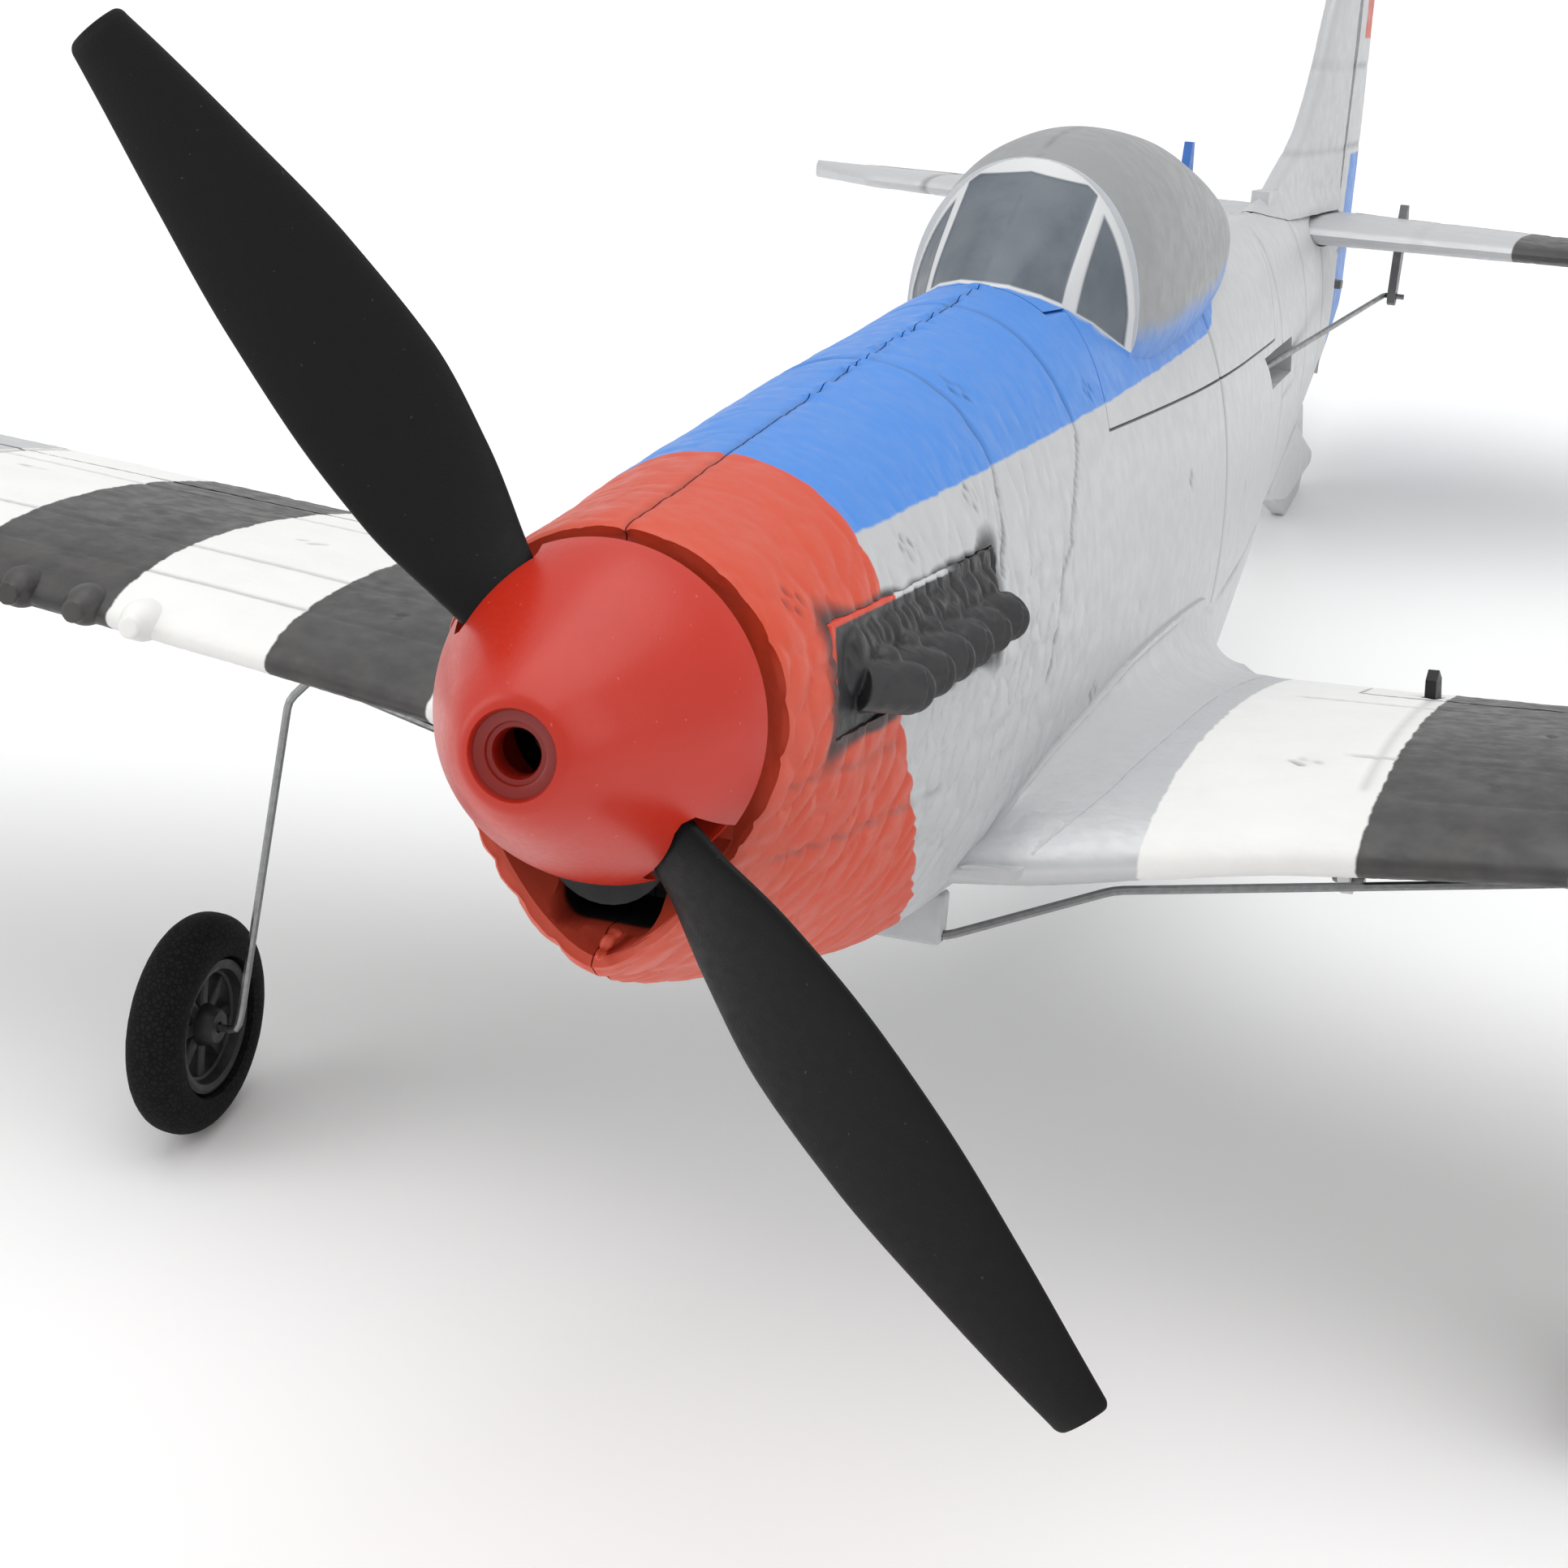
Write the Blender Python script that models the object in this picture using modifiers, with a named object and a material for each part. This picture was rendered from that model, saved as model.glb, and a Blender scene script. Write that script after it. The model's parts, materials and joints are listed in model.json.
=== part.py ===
"""A small foam park flyer shaped like a bubble-canopy fighter, built as an assembly of its real pieces.

All shapes are drawn in millimetres in the airframe's own frame and scaled to metres once: the origin is the
centre of the spinner's base, Y runs aft along the thrust line, X towards the left wing and Z up. A root empty
then pitches the whole model nose up, so that it stands on its two wheels and its tail skid.
"""

import math

import bmesh
import bpy
from mathutils import Matrix, Vector

MM = 0.001
GAP = 0.3  # between neighbouring pieces

# Wing
HALF_SPAN = 200.0
DIHEDRAL = math.radians(5.4)
LEADING_EDGE = [(0, 60.0), (16, 61.5), (27, 66.5), (40, 72.0), (185, 80.5), (196, 84.5), (HALF_SPAN, 90.0)]
TRAILING_EDGE = [(0, 151.0), (16, 149.0), (27, 144.5), (185, 118.5), (196, 114.5), (HALF_SPAN, 107.0)]
WING_STATIONS = [0.15, 16, 27, 40, 75, 120, 165, 185, 193, 197.5, HALF_SPAN]
ROOT_LE_Z = -24.6
ROOT_TE_Z = -21.6
WING_THICKNESS = 0.115
WING_CAMBER = 0.018
AILERON_SPAN = (36.0, 166.0)
AILERON_CHORD = (13.0, 9.0)

# Fuselage stations: y, top, bottom, half width, height of the widest point, top and bottom fullness
STATIONS = [
    (1.8, 13.1, -19.4, 13.4, 0.0, 2.0, 1.52),
    (4.5, 13.7, -20.6, 13.9, -0.3, 2.0, 1.55),
    (8.0, 14.1, -21.9, 14.2, -0.5, 2.0, 1.6),
    (12.0, 14.6, -23.1, 14.5, -0.8, 2.0, 1.68),
    (24.0, 16.3, -25.8, 15.1, -1.5, 2.1, 1.9),
    (40.0, 18.4, -29.0, 15.7, -2.2, 2.1, 2.05),
    (56.0, 20.5, -30.9, 16.1, -3.0, 2.1, 2.2),
    (75.0, 22.6, -31.4, 16.5, -4.0, 2.1, 2.2),
    (96.0, 24.9, -31.8, 16.8, -5.0, 2.1, 2.2),
    (120.0, 26.0, -32.4, 16.7, -5.0, 2.1, 2.2),
    (133.0, 26.3, -32.8, 16.5, -5.0, 2.1, 2.1),
    (137.0, 26.4, -39.6, 16.4, -5.0, 2.1, 1.9),
    (155.0, 26.8, -43.0, 15.6, -5.0, 2.1, 1.9),
    (178.0, 27.0, -42.0, 13.8, -4.0, 2.1, 1.9),
    (198.0, 27.0, -36.0, 11.9, -2.0, 2.1, 1.9),
    (207.0, 26.9, -31.0, 11.0, -1.0, 2.1, 2.0),
    (211.0, 26.8, -25.4, 10.6, 0.0, 2.1, 2.1),
    (240.0, 26.3, -16.6, 8.0, 3.0, 2.1, 2.1),
    (262.0, 25.9, -9.6, 6.1, 6.0, 2.1, 2.1),
    (280.0, 25.4, -4.3, 4.5, 9.0, 2.1, 2.1),
    (293.4, 24.9, -0.6, 3.1, 11.0, 2.1, 2.1),
]
HULL_POINTS = 12  # points down one side of a fuselage section
WALL = 2.8
CAVITY = (24.0, 200.0)
CAVITY_FLOOR = -27.0
SEAM_X = GAP / 2  # each fuselage half stops this far from the centre plane
HATCH_EDGE_Z = 12.3
HATCH_LEAN = 0.52  # how far the hatch's ends slope aft for each millimetre of height
HATCH = (94.4, 206.0)  # where its ends meet its lower edge
MAGNET_Y = 203.0
SCREEN_TAB = (93.9, 22.6)  # front end and underside of the lip below the windscreen

# Windscreen sections: y, then the points from the crown down one side
WINDSCREEN = [
    (94.4, [(0, 24.9), (0.6, 24.7), (0.9, 23.0), (1.0, 17.0)]),
    (97.2, [(0, 26.8), (3.9, 23.7), (4.1, 22.0), (4.2, 17.0)]),
    (100.0, [(0, 28.7), (7.0, 22.8), (7.2, 21.0), (7.3, 17.0)]),
    (105.4, [(0, 32.4), (7.0, 28.9), (10.2, 21.2), (10.3, 17.0)]),
    (110.8, [(0, 36.2), (7.0, 34.9), (12.6, 21.2), (12.7, 17.0)]),
]
# Canopy sections: y, top, half width, base
CANOPY = [
    (111.0, 36.4, 12.9, 17.0),
    (119.0, 38.5, 13.2, 17.0),
    (130.0, 39.2, 13.0, 18.0),
    (145.0, 38.4, 12.2, 19.0),
    (160.0, 36.2, 10.7, 20.0),
    (175.0, 33.2, 8.4, 21.5),
    (188.0, 29.8, 5.2, 22.5),
    (195.0, 26.2, 2.4, 22.5),
]

# Power train
SPINNER_RADIUS = 12.6
SPINNER_LENGTH = 16.1
PROP_RADIUS = 60.3
PROP_ANGLE = math.radians(-42.9)
PROP_PITCH = 55.0
PROP_Y = -2.6
SHAFT_RADIUS = 1.0
GEAR_MODULE = 0.4
SPUR_TEETH = 40
PINION_TEETH = 10
MOTOR_DROP = GEAR_MODULE * (SPUR_TEETH + PINION_TEETH) / 2
MOTOR_RADIUS = 4.2

# Exhaust stubs: the middle of the first one's open end, and the rest behind it
STUBS = 6
STUB_END = (17.3, 21.0, 0.9)
STUB_STEP = 5.6
STUB_RADIUS = 2.2

# Tail
HINGE_Y = 294.3
STAB_HALF_SPAN = 80.5
STAB_Z = 22.5
ELEVATOR_HORN = Vector((11.5, HINGE_Y, STAB_Z))
HORN_REACH = Vector((0, 2.5, -10.0))
RUDDER_HORN_Z = 13.2
RUDDER_REACH = Vector((-10.3, 2.5, 0))
ELEVATOR_SERVO = Vector((9.2, 150.0, 16.3))
RUDDER_SERVO = Vector((0, 165.0, 8.3))
ROD_RADIUS = 0.4
HOLE_RADIUS = 0.62

# Undercarriage
WHEEL = Vector((76.0, 87.3, -61.9))
TYRE_RADIUS = 12.0
TYRE_WIDTH = 6.0
AXLE_RADIUS = 0.45
AXLE_BORE = 0.62
LEG_TOP = Vector((65.5, 85.0, -22.2))
BELLY_WIRE = Vector((9.6, 68.4, -32.2))  # where the gear wire leaves its clip under the belly
SKID_CONTACT = Vector((0, 291.0, -20.2))

reach = SKID_CONTACT - WHEEL
GROUND_PITCH = math.atan2(reach.z, reach.y) + math.asin(TYRE_RADIUS / math.hypot(reach.y, reach.z))

for old in list(bpy.data.objects):
    bpy.data.objects.remove(old)

parts = bpy.data.collections.new("rc_foam_airplane")
guides = bpy.data.collections.new("cutters")
bpy.context.scene.collection.children.link(parts)
bpy.context.scene.collection.children.link(guides)

MATERIALS = {
    "foam_silver": ((0.62, 0.63, 0.65), 0.45, 0.2),
    "canopy_grey": ((0.22, 0.24, 0.27), 0.3, 0.0),
    "spinner_red": ((0.56, 0.05, 0.02), 0.38, 0.0),
    "mast_blue": ((0.06, 0.2, 0.55), 0.5, 0.0),
    "prop_black": ((0.015, 0.015, 0.017), 0.45, 0.0),
    "black_plastic": ((0.03, 0.03, 0.032), 0.5, 0.0),
    "grey_plastic": ((0.55, 0.56, 0.57), 0.5, 0.0),
    "gear_nylon": ((0.85, 0.85, 0.8), 0.5, 0.0),
    "steel": ((0.6, 0.6, 0.6), 0.3, 1.0),
    "brass": ((0.75, 0.55, 0.2), 0.35, 1.0),
    "tyre_foam": ((0.012, 0.012, 0.012), 0.8, 0.0),
    "cell_foil": ((0.05, 0.12, 0.3), 0.35, 0.0),
    "board_green": ((0.02, 0.16, 0.06), 0.4, 0.0),
    "plug_white": ((0.8, 0.8, 0.78), 0.5, 0.0),
    "plywood": ((0.5, 0.36, 0.2), 0.7, 0.0),
}


def material(name):
    found = bpy.data.materials.get(name)
    if found:
        return found
    colour, roughness, metallic = MATERIALS[name]
    made = bpy.data.materials.new(name)
    made.use_nodes = True
    shader = made.node_tree.nodes["Principled BSDF"]
    shader.inputs["Base Color"].default_value = (*colour, 1)
    shader.inputs["Roughness"].default_value = roughness
    shader.inputs["Metallic"].default_value = metallic
    return made


# Empties: the root pitches the model, and each moving body has an empty on its joint's axis.
root = bpy.data.objects.new("stance", None)
root.rotation_euler = (-GROUND_PITCH, 0, 0)
parts.objects.link(root)
pivots = {}


def pivot(body, point, axis=(1, 0, 0)):
    """An empty at a point in millimetres whose X axis is the joint's axis."""
    empty = bpy.data.objects.new(body + "_axis", None)
    turn = Vector((1, 0, 0)).rotation_difference(Vector(axis))
    empty.matrix_basis = Matrix.Translation(Vector(point) * MM) @ turn.to_matrix().to_4x4()
    empty.empty_display_size = 0.01
    empty.parent = root
    parts.objects.link(empty)
    pivots[body] = empty
    return empty


def adopt(obj, collection, body=None):
    """Moves an object into one collection and hangs it on its body's empty without shifting it."""
    for old in list(obj.users_collection):
        old.objects.unlink(obj)
    collection.objects.link(obj)
    holder = pivots.get(body, root)
    obj.parent = holder
    if holder is not root:
        obj.matrix_parent_inverse = holder.matrix_basis.inverted()


def part(obj, name, look, body=None, smooth=True):
    obj.name = name
    obj.data.name = name
    obj.data.materials.clear()
    obj.data.materials.append(material(look))
    adopt(obj, parts, body)
    if smooth and obj.type == "MESH":
        obj.data.shade_smooth()
        obj.data.set_sharp_from_angle(angle=math.radians(35))
    return obj


def guide(obj, name):
    obj.name = name
    obj.hide_render = True
    obj.display_type = "WIRE"
    adopt(obj, guides)
    return obj


def object_from(bm, name):
    bmesh.ops.recalc_face_normals(bm, faces=bm.faces)
    mesh = bpy.data.meshes.new(name)
    bm.to_mesh(mesh)
    bm.free()
    obj = bpy.data.objects.new(name, mesh)
    parts.objects.link(obj)
    return obj


def loft(name, rings):
    """A closed skin through rings of millimetre points, all with the same number of points."""
    bm = bmesh.new()
    rows = [[bm.verts.new(Vector(p) * MM) for p in ring] for ring in rings]
    for near, far in zip(rows, rows[1:]):
        for i in range(len(near)):
            j = (i + 1) % len(near)
            bm.faces.new((near[i], near[j], far[j], far[i]))
    bm.faces.new(rows[0][::-1])
    bm.faces.new(rows[-1])
    return object_from(bm, name)


def block(name, low, high):
    """A box between two corners in millimetres."""
    low, high = Vector(low), Vector(high)
    bpy.ops.mesh.primitive_cube_add(size=1)
    obj = bpy.context.object
    obj.name = name
    obj.data.transform(Matrix.Diagonal((*((high - low) * MM), 1)))
    obj.location = (low + high) / 2 * MM
    return obj


def rod(name, radius, start, end, sides=24):
    """A round bar from one point to another, in millimetres."""
    start, end = Vector(start), Vector(end)
    length = (end - start).length
    bpy.ops.mesh.primitive_cylinder_add(vertices=sides, radius=radius * MM, depth=length * MM)
    obj = bpy.context.object
    obj.name = name
    obj.rotation_euler = (end - start).to_track_quat("Z", "Y").to_euler()
    obj.location = (start + end) / 2 * MM
    return obj


def turned(name, profile, centre, axis, closed=False, steps=36):
    """A profile of (radius, along) points, listed down the outer side, turned about an axis."""
    bm = bmesh.new()
    verts = [bm.verts.new((r * MM, 0, z * MM)) for r, z in profile]
    pairs = list(zip(verts, verts[1:]))
    if closed:
        pairs.append((verts[-1], verts[0]))
    for a, b in pairs:
        bm.edges.new((a, b))
    mesh = bpy.data.meshes.new(name)
    bm.to_mesh(mesh)
    bm.free()
    obj = bpy.data.objects.new(name, mesh)
    parts.objects.link(obj)
    screw = obj.modifiers.new("turn", "SCREW")
    screw.steps = steps
    screw.render_steps = steps
    screw.use_merge_vertices = True
    screw.merge_threshold = 0.00001
    obj.rotation_euler = Vector(axis).to_track_quat("Z", "Y").to_euler()
    obj.location = Vector(centre) * MM
    return obj


def plate(name, outline, thickness, placement, holes=()):
    """A flat outline in millimetres with round holes, extruded, and placed by a matrix."""
    curve = bpy.data.curves.new(name, "CURVE")
    curve.dimensions = "2D"
    curve.fill_mode = "BOTH"
    curve.extrude = thickness / 2 * MM
    loops = [outline]
    for x, y, radius in holes:
        loops.append(circle_points(x, y, radius, 12))
    for loop in loops:
        spline = curve.splines.new("POLY")
        spline.points.add(len(loop) - 1)
        for point, (x, y) in zip(spline.points, loop):
            point.co = (x * MM, y * MM, 0, 1)
        spline.use_cyclic_u = True
    obj = bpy.data.objects.new(name, curve)
    parts.objects.link(obj)
    obj.matrix_basis = placement
    return meshed(obj)


def meshed(curve_object):
    """The same shape as a welded mesh object, so that it can be cut or joined."""
    bpy.context.view_layer.update()
    graph = bpy.context.evaluated_depsgraph_get()
    mesh = bpy.data.meshes.new_from_object(curve_object.evaluated_get(graph))
    bm = bmesh.new()
    bm.from_mesh(mesh)
    bmesh.ops.remove_doubles(bm, verts=bm.verts, dist=0.000005)
    bmesh.ops.recalc_face_normals(bm, faces=bm.faces)
    bm.to_mesh(mesh)
    bm.free()
    obj = bpy.data.objects.new(curve_object.name, mesh)
    parts.objects.link(obj)
    obj.matrix_basis = curve_object.matrix_basis.copy()
    bpy.data.objects.remove(curve_object)
    return obj


def wire(name, points, radius, look, body=None):
    """A bent wire along millimetre points."""
    curve = bpy.data.curves.new(name, "CURVE")
    curve.dimensions = "3D"
    curve.bevel_depth = radius * MM
    curve.bevel_resolution = 2
    curve.use_fill_caps = True
    spline = curve.splines.new("POLY")
    spline.points.add(len(points) - 1)
    for point, place in zip(spline.points, points):
        point.co = (*(Vector(place) * MM), 1)
    obj = bpy.data.objects.new(name, curve)
    parts.objects.link(obj)
    return part(obj, name, look, body)


def rounded(points, radius, steps=3):
    """The same path with each inner corner swept round an arc-like bend."""
    path = [Vector(p) for p in points]
    smooth = [path[0]]
    for before, corner, after in zip(path, path[1:], path[2:]):
        first = corner + (before - corner).normalized() * radius
        last = corner + (after - corner).normalized() * radius
        for i in range(steps + 1):
            t = i / steps
            smooth.append(first * (1 - t) ** 2 + corner * 2 * t * (1 - t) + last * t * t)
    smooth.append(path[-1])
    return smooth


def boolean(obj, tool, operation="DIFFERENCE"):
    step = obj.modifiers.new(tool.name, "BOOLEAN")
    step.operation = operation
    step.object = tool
    step.solver = "EXACT"


def circle_points(x, y, radius, count):
    turns = [2 * math.pi * i / count for i in range(count)]
    return [(x + radius * math.cos(a), y + radius * math.sin(a)) for a in turns]


def at(points, where):
    """Straight-line interpolation in a list of (position, value) pairs."""
    for (a, low), (b, high) in zip(points, points[1:]):
        if where <= b:
            return low + (high - low) * (where - a) / (b - a)
    return points[-1][1]


# Fuselage ------------------------------------------------------------------------------------------------


def hull_section(station, shrink=0.0):
    """Points down the right-hand side of a fuselage section, from crown to keel."""
    y, top, bottom, half, middle, full_top, full_bottom = station
    points = []
    for i in range(HULL_POINTS + 1):
        turn = math.pi * i / HULL_POINTS
        full = full_top if turn <= math.pi / 2 else full_bottom
        height = top - middle if turn <= math.pi / 2 else middle - bottom
        across = (half - shrink) * abs(math.sin(turn)) ** (2 / full)
        rise = (height - shrink) * abs(math.cos(turn)) ** (2 / full)
        points.append((across, middle + math.copysign(rise, math.cos(turn))))
    return y, points


def ring(y, side):
    """A closed ring at one y from the points down its positive side."""
    left = [(x, y, z) for x, z in side]
    right = [(-x, y, z) for x, z in side[-2:0:-1]]
    return left + right


def blended_station(y):
    """The fuselage station at any y."""
    for a, b in zip(STATIONS, STATIONS[1:]):
        if y <= b[0]:
            t = (y - a[0]) / (b[0] - a[0])
            return tuple(p + (q - p) * t for p, q in zip(a, b))
    return STATIONS[-1]


def hull(name):
    return loft(name, [ring(*hull_section(s)) for s in STATIONS])


def cavity(name):
    """The hollow inside the foam shells: its floor stays above the wing's saddle and the scoop."""
    rings = []
    for y in (CAVITY[0], 40, 56, 75, 96, 120, 140, 160, 180, CAVITY[1]):
        station = list(blended_station(y))
        station[2] = max(station[2], CAVITY_FLOOR)
        rings.append(ring(*hull_section(station, WALL)))
    return guide(loft(name, rings), name)


def canopy(name):
    rings = []
    for y, top, half, base in CANOPY:
        side = []
        for i in range(9):
            turn = math.pi / 2 * i / 8
            side.append((half * math.sin(turn) ** 0.95, base + (top - base) * math.cos(turn) ** 0.9))
        side.append((0, base))
        rings.append(ring(y, side))
    return guide(loft(name, rings), name)


def windscreen(name):
    rings = []
    for y, side in WINDSCREEN:
        rings.append(ring(y, side + [(0, side[-1][1])]))
    last = WINDSCREEN[-1]
    rings.append(ring(last[0] + 4, last[1] + [(0, last[1][-1][1])]))
    return guide(loft(name, rings), name)


def hatch_prism(name, inset):
    """The space of the hatch, right across the fuselage: its ends slope aft and its front has a lip."""
    top = 60.0  # clear above the canopy
    shift = inset * math.hypot(1, HATCH_LEAN)
    edge, (tab_y, tab_z) = HATCH_EDGE_Z + inset, (SCREEN_TAB[0] + inset, SCREEN_TAB[1] + inset)

    def end(start, z):
        return start + HATCH_LEAN * (z - HATCH_EDGE_Z)

    front, back = HATCH[0] + shift, HATCH[1] - shift
    outline = [(end(front, edge), edge), (end(front, tab_z), tab_z), (tab_y, tab_z), (tab_y, top),
               (end(back, top), top), (end(back, edge), edge)]
    return guide(loft(name, [[(x, y, z) for y, z in outline] for x in (-30, 30)]), name)


def half_thickness(u):
    """Half the thickness of a symmetrical aerofoil of full thickness 1, at a fraction of its chord."""
    return 5 * (0.2969 * math.sqrt(u) - 0.126 * u - 0.3516 * u**2 + 0.2843 * u**3 - 0.095 * u**4)


def airfoil(chord, thickness, camber, count=9):
    """Chord fraction and height pairs, from the trailing edge over the top and back underneath."""
    upper, lower = [], []
    for i in range(count):
        x = (1 - math.cos(math.pi * i / (count - 1))) / 2
        t = thickness * half_thickness(x)
        bow = 4 * camber * x * (1 - x)
        upper.append((x * chord, (bow + t) * chord))
        lower.append((x * chord, (bow - t) * chord))
    return upper[::-1] + lower[1:]


def wing_ring(x, grow=0.0):
    """The wing's section at a distance x from the middle."""
    front = at(LEADING_EDGE, x) - grow
    back = at(TRAILING_EDGE, x) + grow
    rise = x * math.tan(DIHEDRAL)
    thin = WING_THICKNESS * (0.8 if x > 190 else 1.0)
    points = []
    for along, up in airfoil(back - front, thin + 2 * grow / (back - front), WING_CAMBER):
        slope = (ROOT_TE_Z - ROOT_LE_Z) * along / (back - front)
        points.append((x, front + along, ROOT_LE_Z + rise + slope + up))
    return points


def mirrored(rings):
    return [[(-x, y, z) for x, y, z in points] for points in rings]


def wing_skin(name, side):
    rings = [wing_ring(x) for x in WING_STATIONS]
    return loft(name, rings if side > 0 else mirrored(rings))


def wing_saddle(name):
    rings = [[(x, y, z) for _, y, z in wing_ring(abs(x), GAP)] for x in (-24, -16, 0, 16, 24)]
    return guide(loft(name, rings), name)


def stab_ring(x, grow=0.0):
    """Front part of the tailplane at x: leading edge to hinge line."""
    front = 261.0 + 0.24 * abs(x) + (max(abs(x) - 68, 0) * 0.9) - grow
    back = HINGE_Y - 0.9 + grow
    half = 2.1 - 0.8 * abs(x) / STAB_HALF_SPAN + grow
    side = [(0, 0), (0.05, 0.45), (0.2, 0.8), (0.5, 1.0), (1.0, 0.92)]
    upper = [(x, front + (back - front) * u, STAB_Z + half * h) for u, h in side]
    lower = [(x, front + (back - front) * u, STAB_Z - half * h) for u, h in side[:0:-1]]
    return upper + lower


def stabilizer(name, grow=0.0, half_span=STAB_HALF_SPAN):
    spans = [-half_span, -0.92 * half_span, -0.5 * half_span, 0, 0.5 * half_span, 0.92 * half_span, half_span]
    return loft(name, [stab_ring(x, grow) for x in spans])


def airframe():
    hollow = cavity("cavity")
    saddle = wing_saddle("wing_saddle")
    tail_slot = guide(stabilizer("stab_slot", GAP, 20), "stab_slot")
    hatch_hole = hatch_prism("hatch_hole", 0.0)
    nose = guide(rod("nose_bore", 11.2, (0, 0, 0), (0, CAVITY[0] + 3, 0), 32), "nose_bore")
    motor_bay = rod("motor_bay", 5.4, (0, 0, -MOTOR_DROP), (0, CAVITY[0] + 3, -MOTOR_DROP), 24)
    guide(motor_bay, "motor_bay")
    mouth = [(0, 6.2, 10.0, 18.2), (6, 4.0, 10.0, 17.2), (15, 4.0, 10.0, 17.2)]
    duct = guide(loft("chin_duct", [
        [(wide, y, -high), (-wide, y, -high), (-wide, y, -high - 2.6), (-0.6 * wide, y, -low), (0.6 * wide, y, -low),
         (wide, y, -high - 2.6)] for y, wide, high, low in mouth]), "chin_duct")
    radiator = guide(block("scoop_recess", (-7, 131, -38.3), (7, 140, -33.4)), "scoop_recess")
    fin_slot = guide(block("fin_slot", (-1.5, 237.7, 16.7), (1.5, 256.3, 40)), "fin_slot")
    magnet_pocket = guide(rod("magnet_pocket", 2.1, (0, MAGNET_Y, 10.2), (0, MAGNET_Y, 14.8), 20), "magnet_pocket")
    skid_slot = guide(block("skid_slot", (-1.5, 263.7, -20), (1.5, 284.3, 1.3)), "skid_slot")
    for side, name in ((1, "fuselage_left"), (-1, "fuselage_right")):
        shell = hull(name)
        recess = exhaust_block("recess_" + name, side, 0.0, 20.0)
        if side > 0:
            slot = block("rod_slot_left", (5.5, 186, 6.6), (11.2, 226, 11.2))
        else:
            slot = block("rod_slot_right", (-12.0, 158, 6.0), (-7.5, 229, 13.6))
        near, far = sorted((SEAM_X * side, 40 * side))
        half = block("half_" + name, (near, -5, -60), (far, 320, 60))
        tools = [hollow, nose, motor_bay, duct, radiator, saddle, tail_slot, hatch_hole, fin_slot]
        tools += [magnet_pocket, skid_slot, guide(recess, recess.name), guide(slot, slot.name)]
        boolean(shell, guide(half, half.name), "INTERSECT")
        for tool in tools:
            boolean(shell, tool)
        part(shell, name, "foam_silver")

    lid = hull("canopy_hatch")
    boolean(lid, canopy("canopy_bubble"), "UNION")
    boolean(lid, windscreen("windscreen_body"), "UNION")
    boolean(lid, hatch_prism("hatch_block", GAP), "INTERSECT")
    boolean(lid, hollow)
    boolean(lid, magnet_pocket)
    relief = block("arm_relief", (5.0, 138.0, 8.0), (10.2, 155.5, 18.6))
    boolean(lid, guide(relief, "arm_relief"))
    part(lid, "canopy_hatch", "canopy_grey", "hatch")
    part(rod("m", 1.8, (0, MAGNET_Y, 12.9), (0, MAGNET_Y, 14.5), 20), "hatch_magnet", "steel", "hatch")
    part(rod("m", 1.8, (0, MAGNET_Y, 10.5), (0, MAGNET_Y, 12.0), 20), "fuselage_magnet", "steel")
    mast = [(188.0, 30.3), (186.6, 36.6), (185.3, 36.6), (184.2, 31.3)]
    mast_place = Matrix.Rotation(math.pi / 2, 4, "Z") @ Matrix.Rotation(math.pi / 2, 4, "X")
    part(plate("mast", mast, 1.0, mast_place), "antenna_mast", "mast_blue", "hatch")


# Nose ---------------------------------------------------------------------------------------------------


def gear_outline(teeth, tip, base):
    """A toothed wheel's outline, with one tooth centred on the X axis."""
    step = 2 * math.pi / teeth
    points = []
    for i in range(teeth):
        middle = i * step
        for radius, half in ((base, 0.34), (tip, 0.13)):
            points.append((radius, middle - half / radius))
        for radius, half in ((tip, 0.13), (base, 0.34)):
            points.append((radius, middle + half / radius))
    return [(r * math.cos(a), r * math.sin(a)) for r, a in points]


def facing_aft(x, y, z, turn=0.0):
    """Places a flat outline across the thrust line, its first axis along +X and its second along +Z."""
    place = Matrix.Translation(Vector((x, y, z)) * MM) @ Matrix.Rotation(math.pi / 2, 4, "X")
    return place @ Matrix.Rotation(turn, 4, "Z")


def blade_rings(flip):
    """Sections of one blade: radius, offset of each edge from the blade's line, and thickness."""
    rings = []
    shape = [(2.5, 2.2, 2.2, 2.6), (8, 2.8, 2.8, 2.2), (12, 3.6, 3.7, 1.9), (20, 5.0, 5.6, 1.7),
             (28, 5.4, 6.6, 1.5), (37, 5.1, 6.1, 1.3), (48, 4.0, 4.5, 1.1), (56, 3.0, 3.1, 0.9),
             (PROP_RADIUS - 0.9, 2.6, 2.4, 0.8), (PROP_RADIUS, 1.8, 1.6, 0.7)]
    for radius, lead, trail, thick in shape:
        twist = min(math.atan(PROP_PITCH / (2 * math.pi * radius)), math.radians(32))
        points = []
        for i in range(10):
            a = 2 * math.pi * i / 10
            along = (lead + trail) / 2 * math.cos(a) + (lead - trail) / 2
            deep = thick / 2 * math.sin(a)
            side = along * math.cos(twist) - deep * math.sin(twist)
            fore = along * math.sin(twist) + deep * math.cos(twist)
            points.append((-side * flip, PROP_Y - fore, radius * flip))
        rings.append(points)
    return rings


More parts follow.
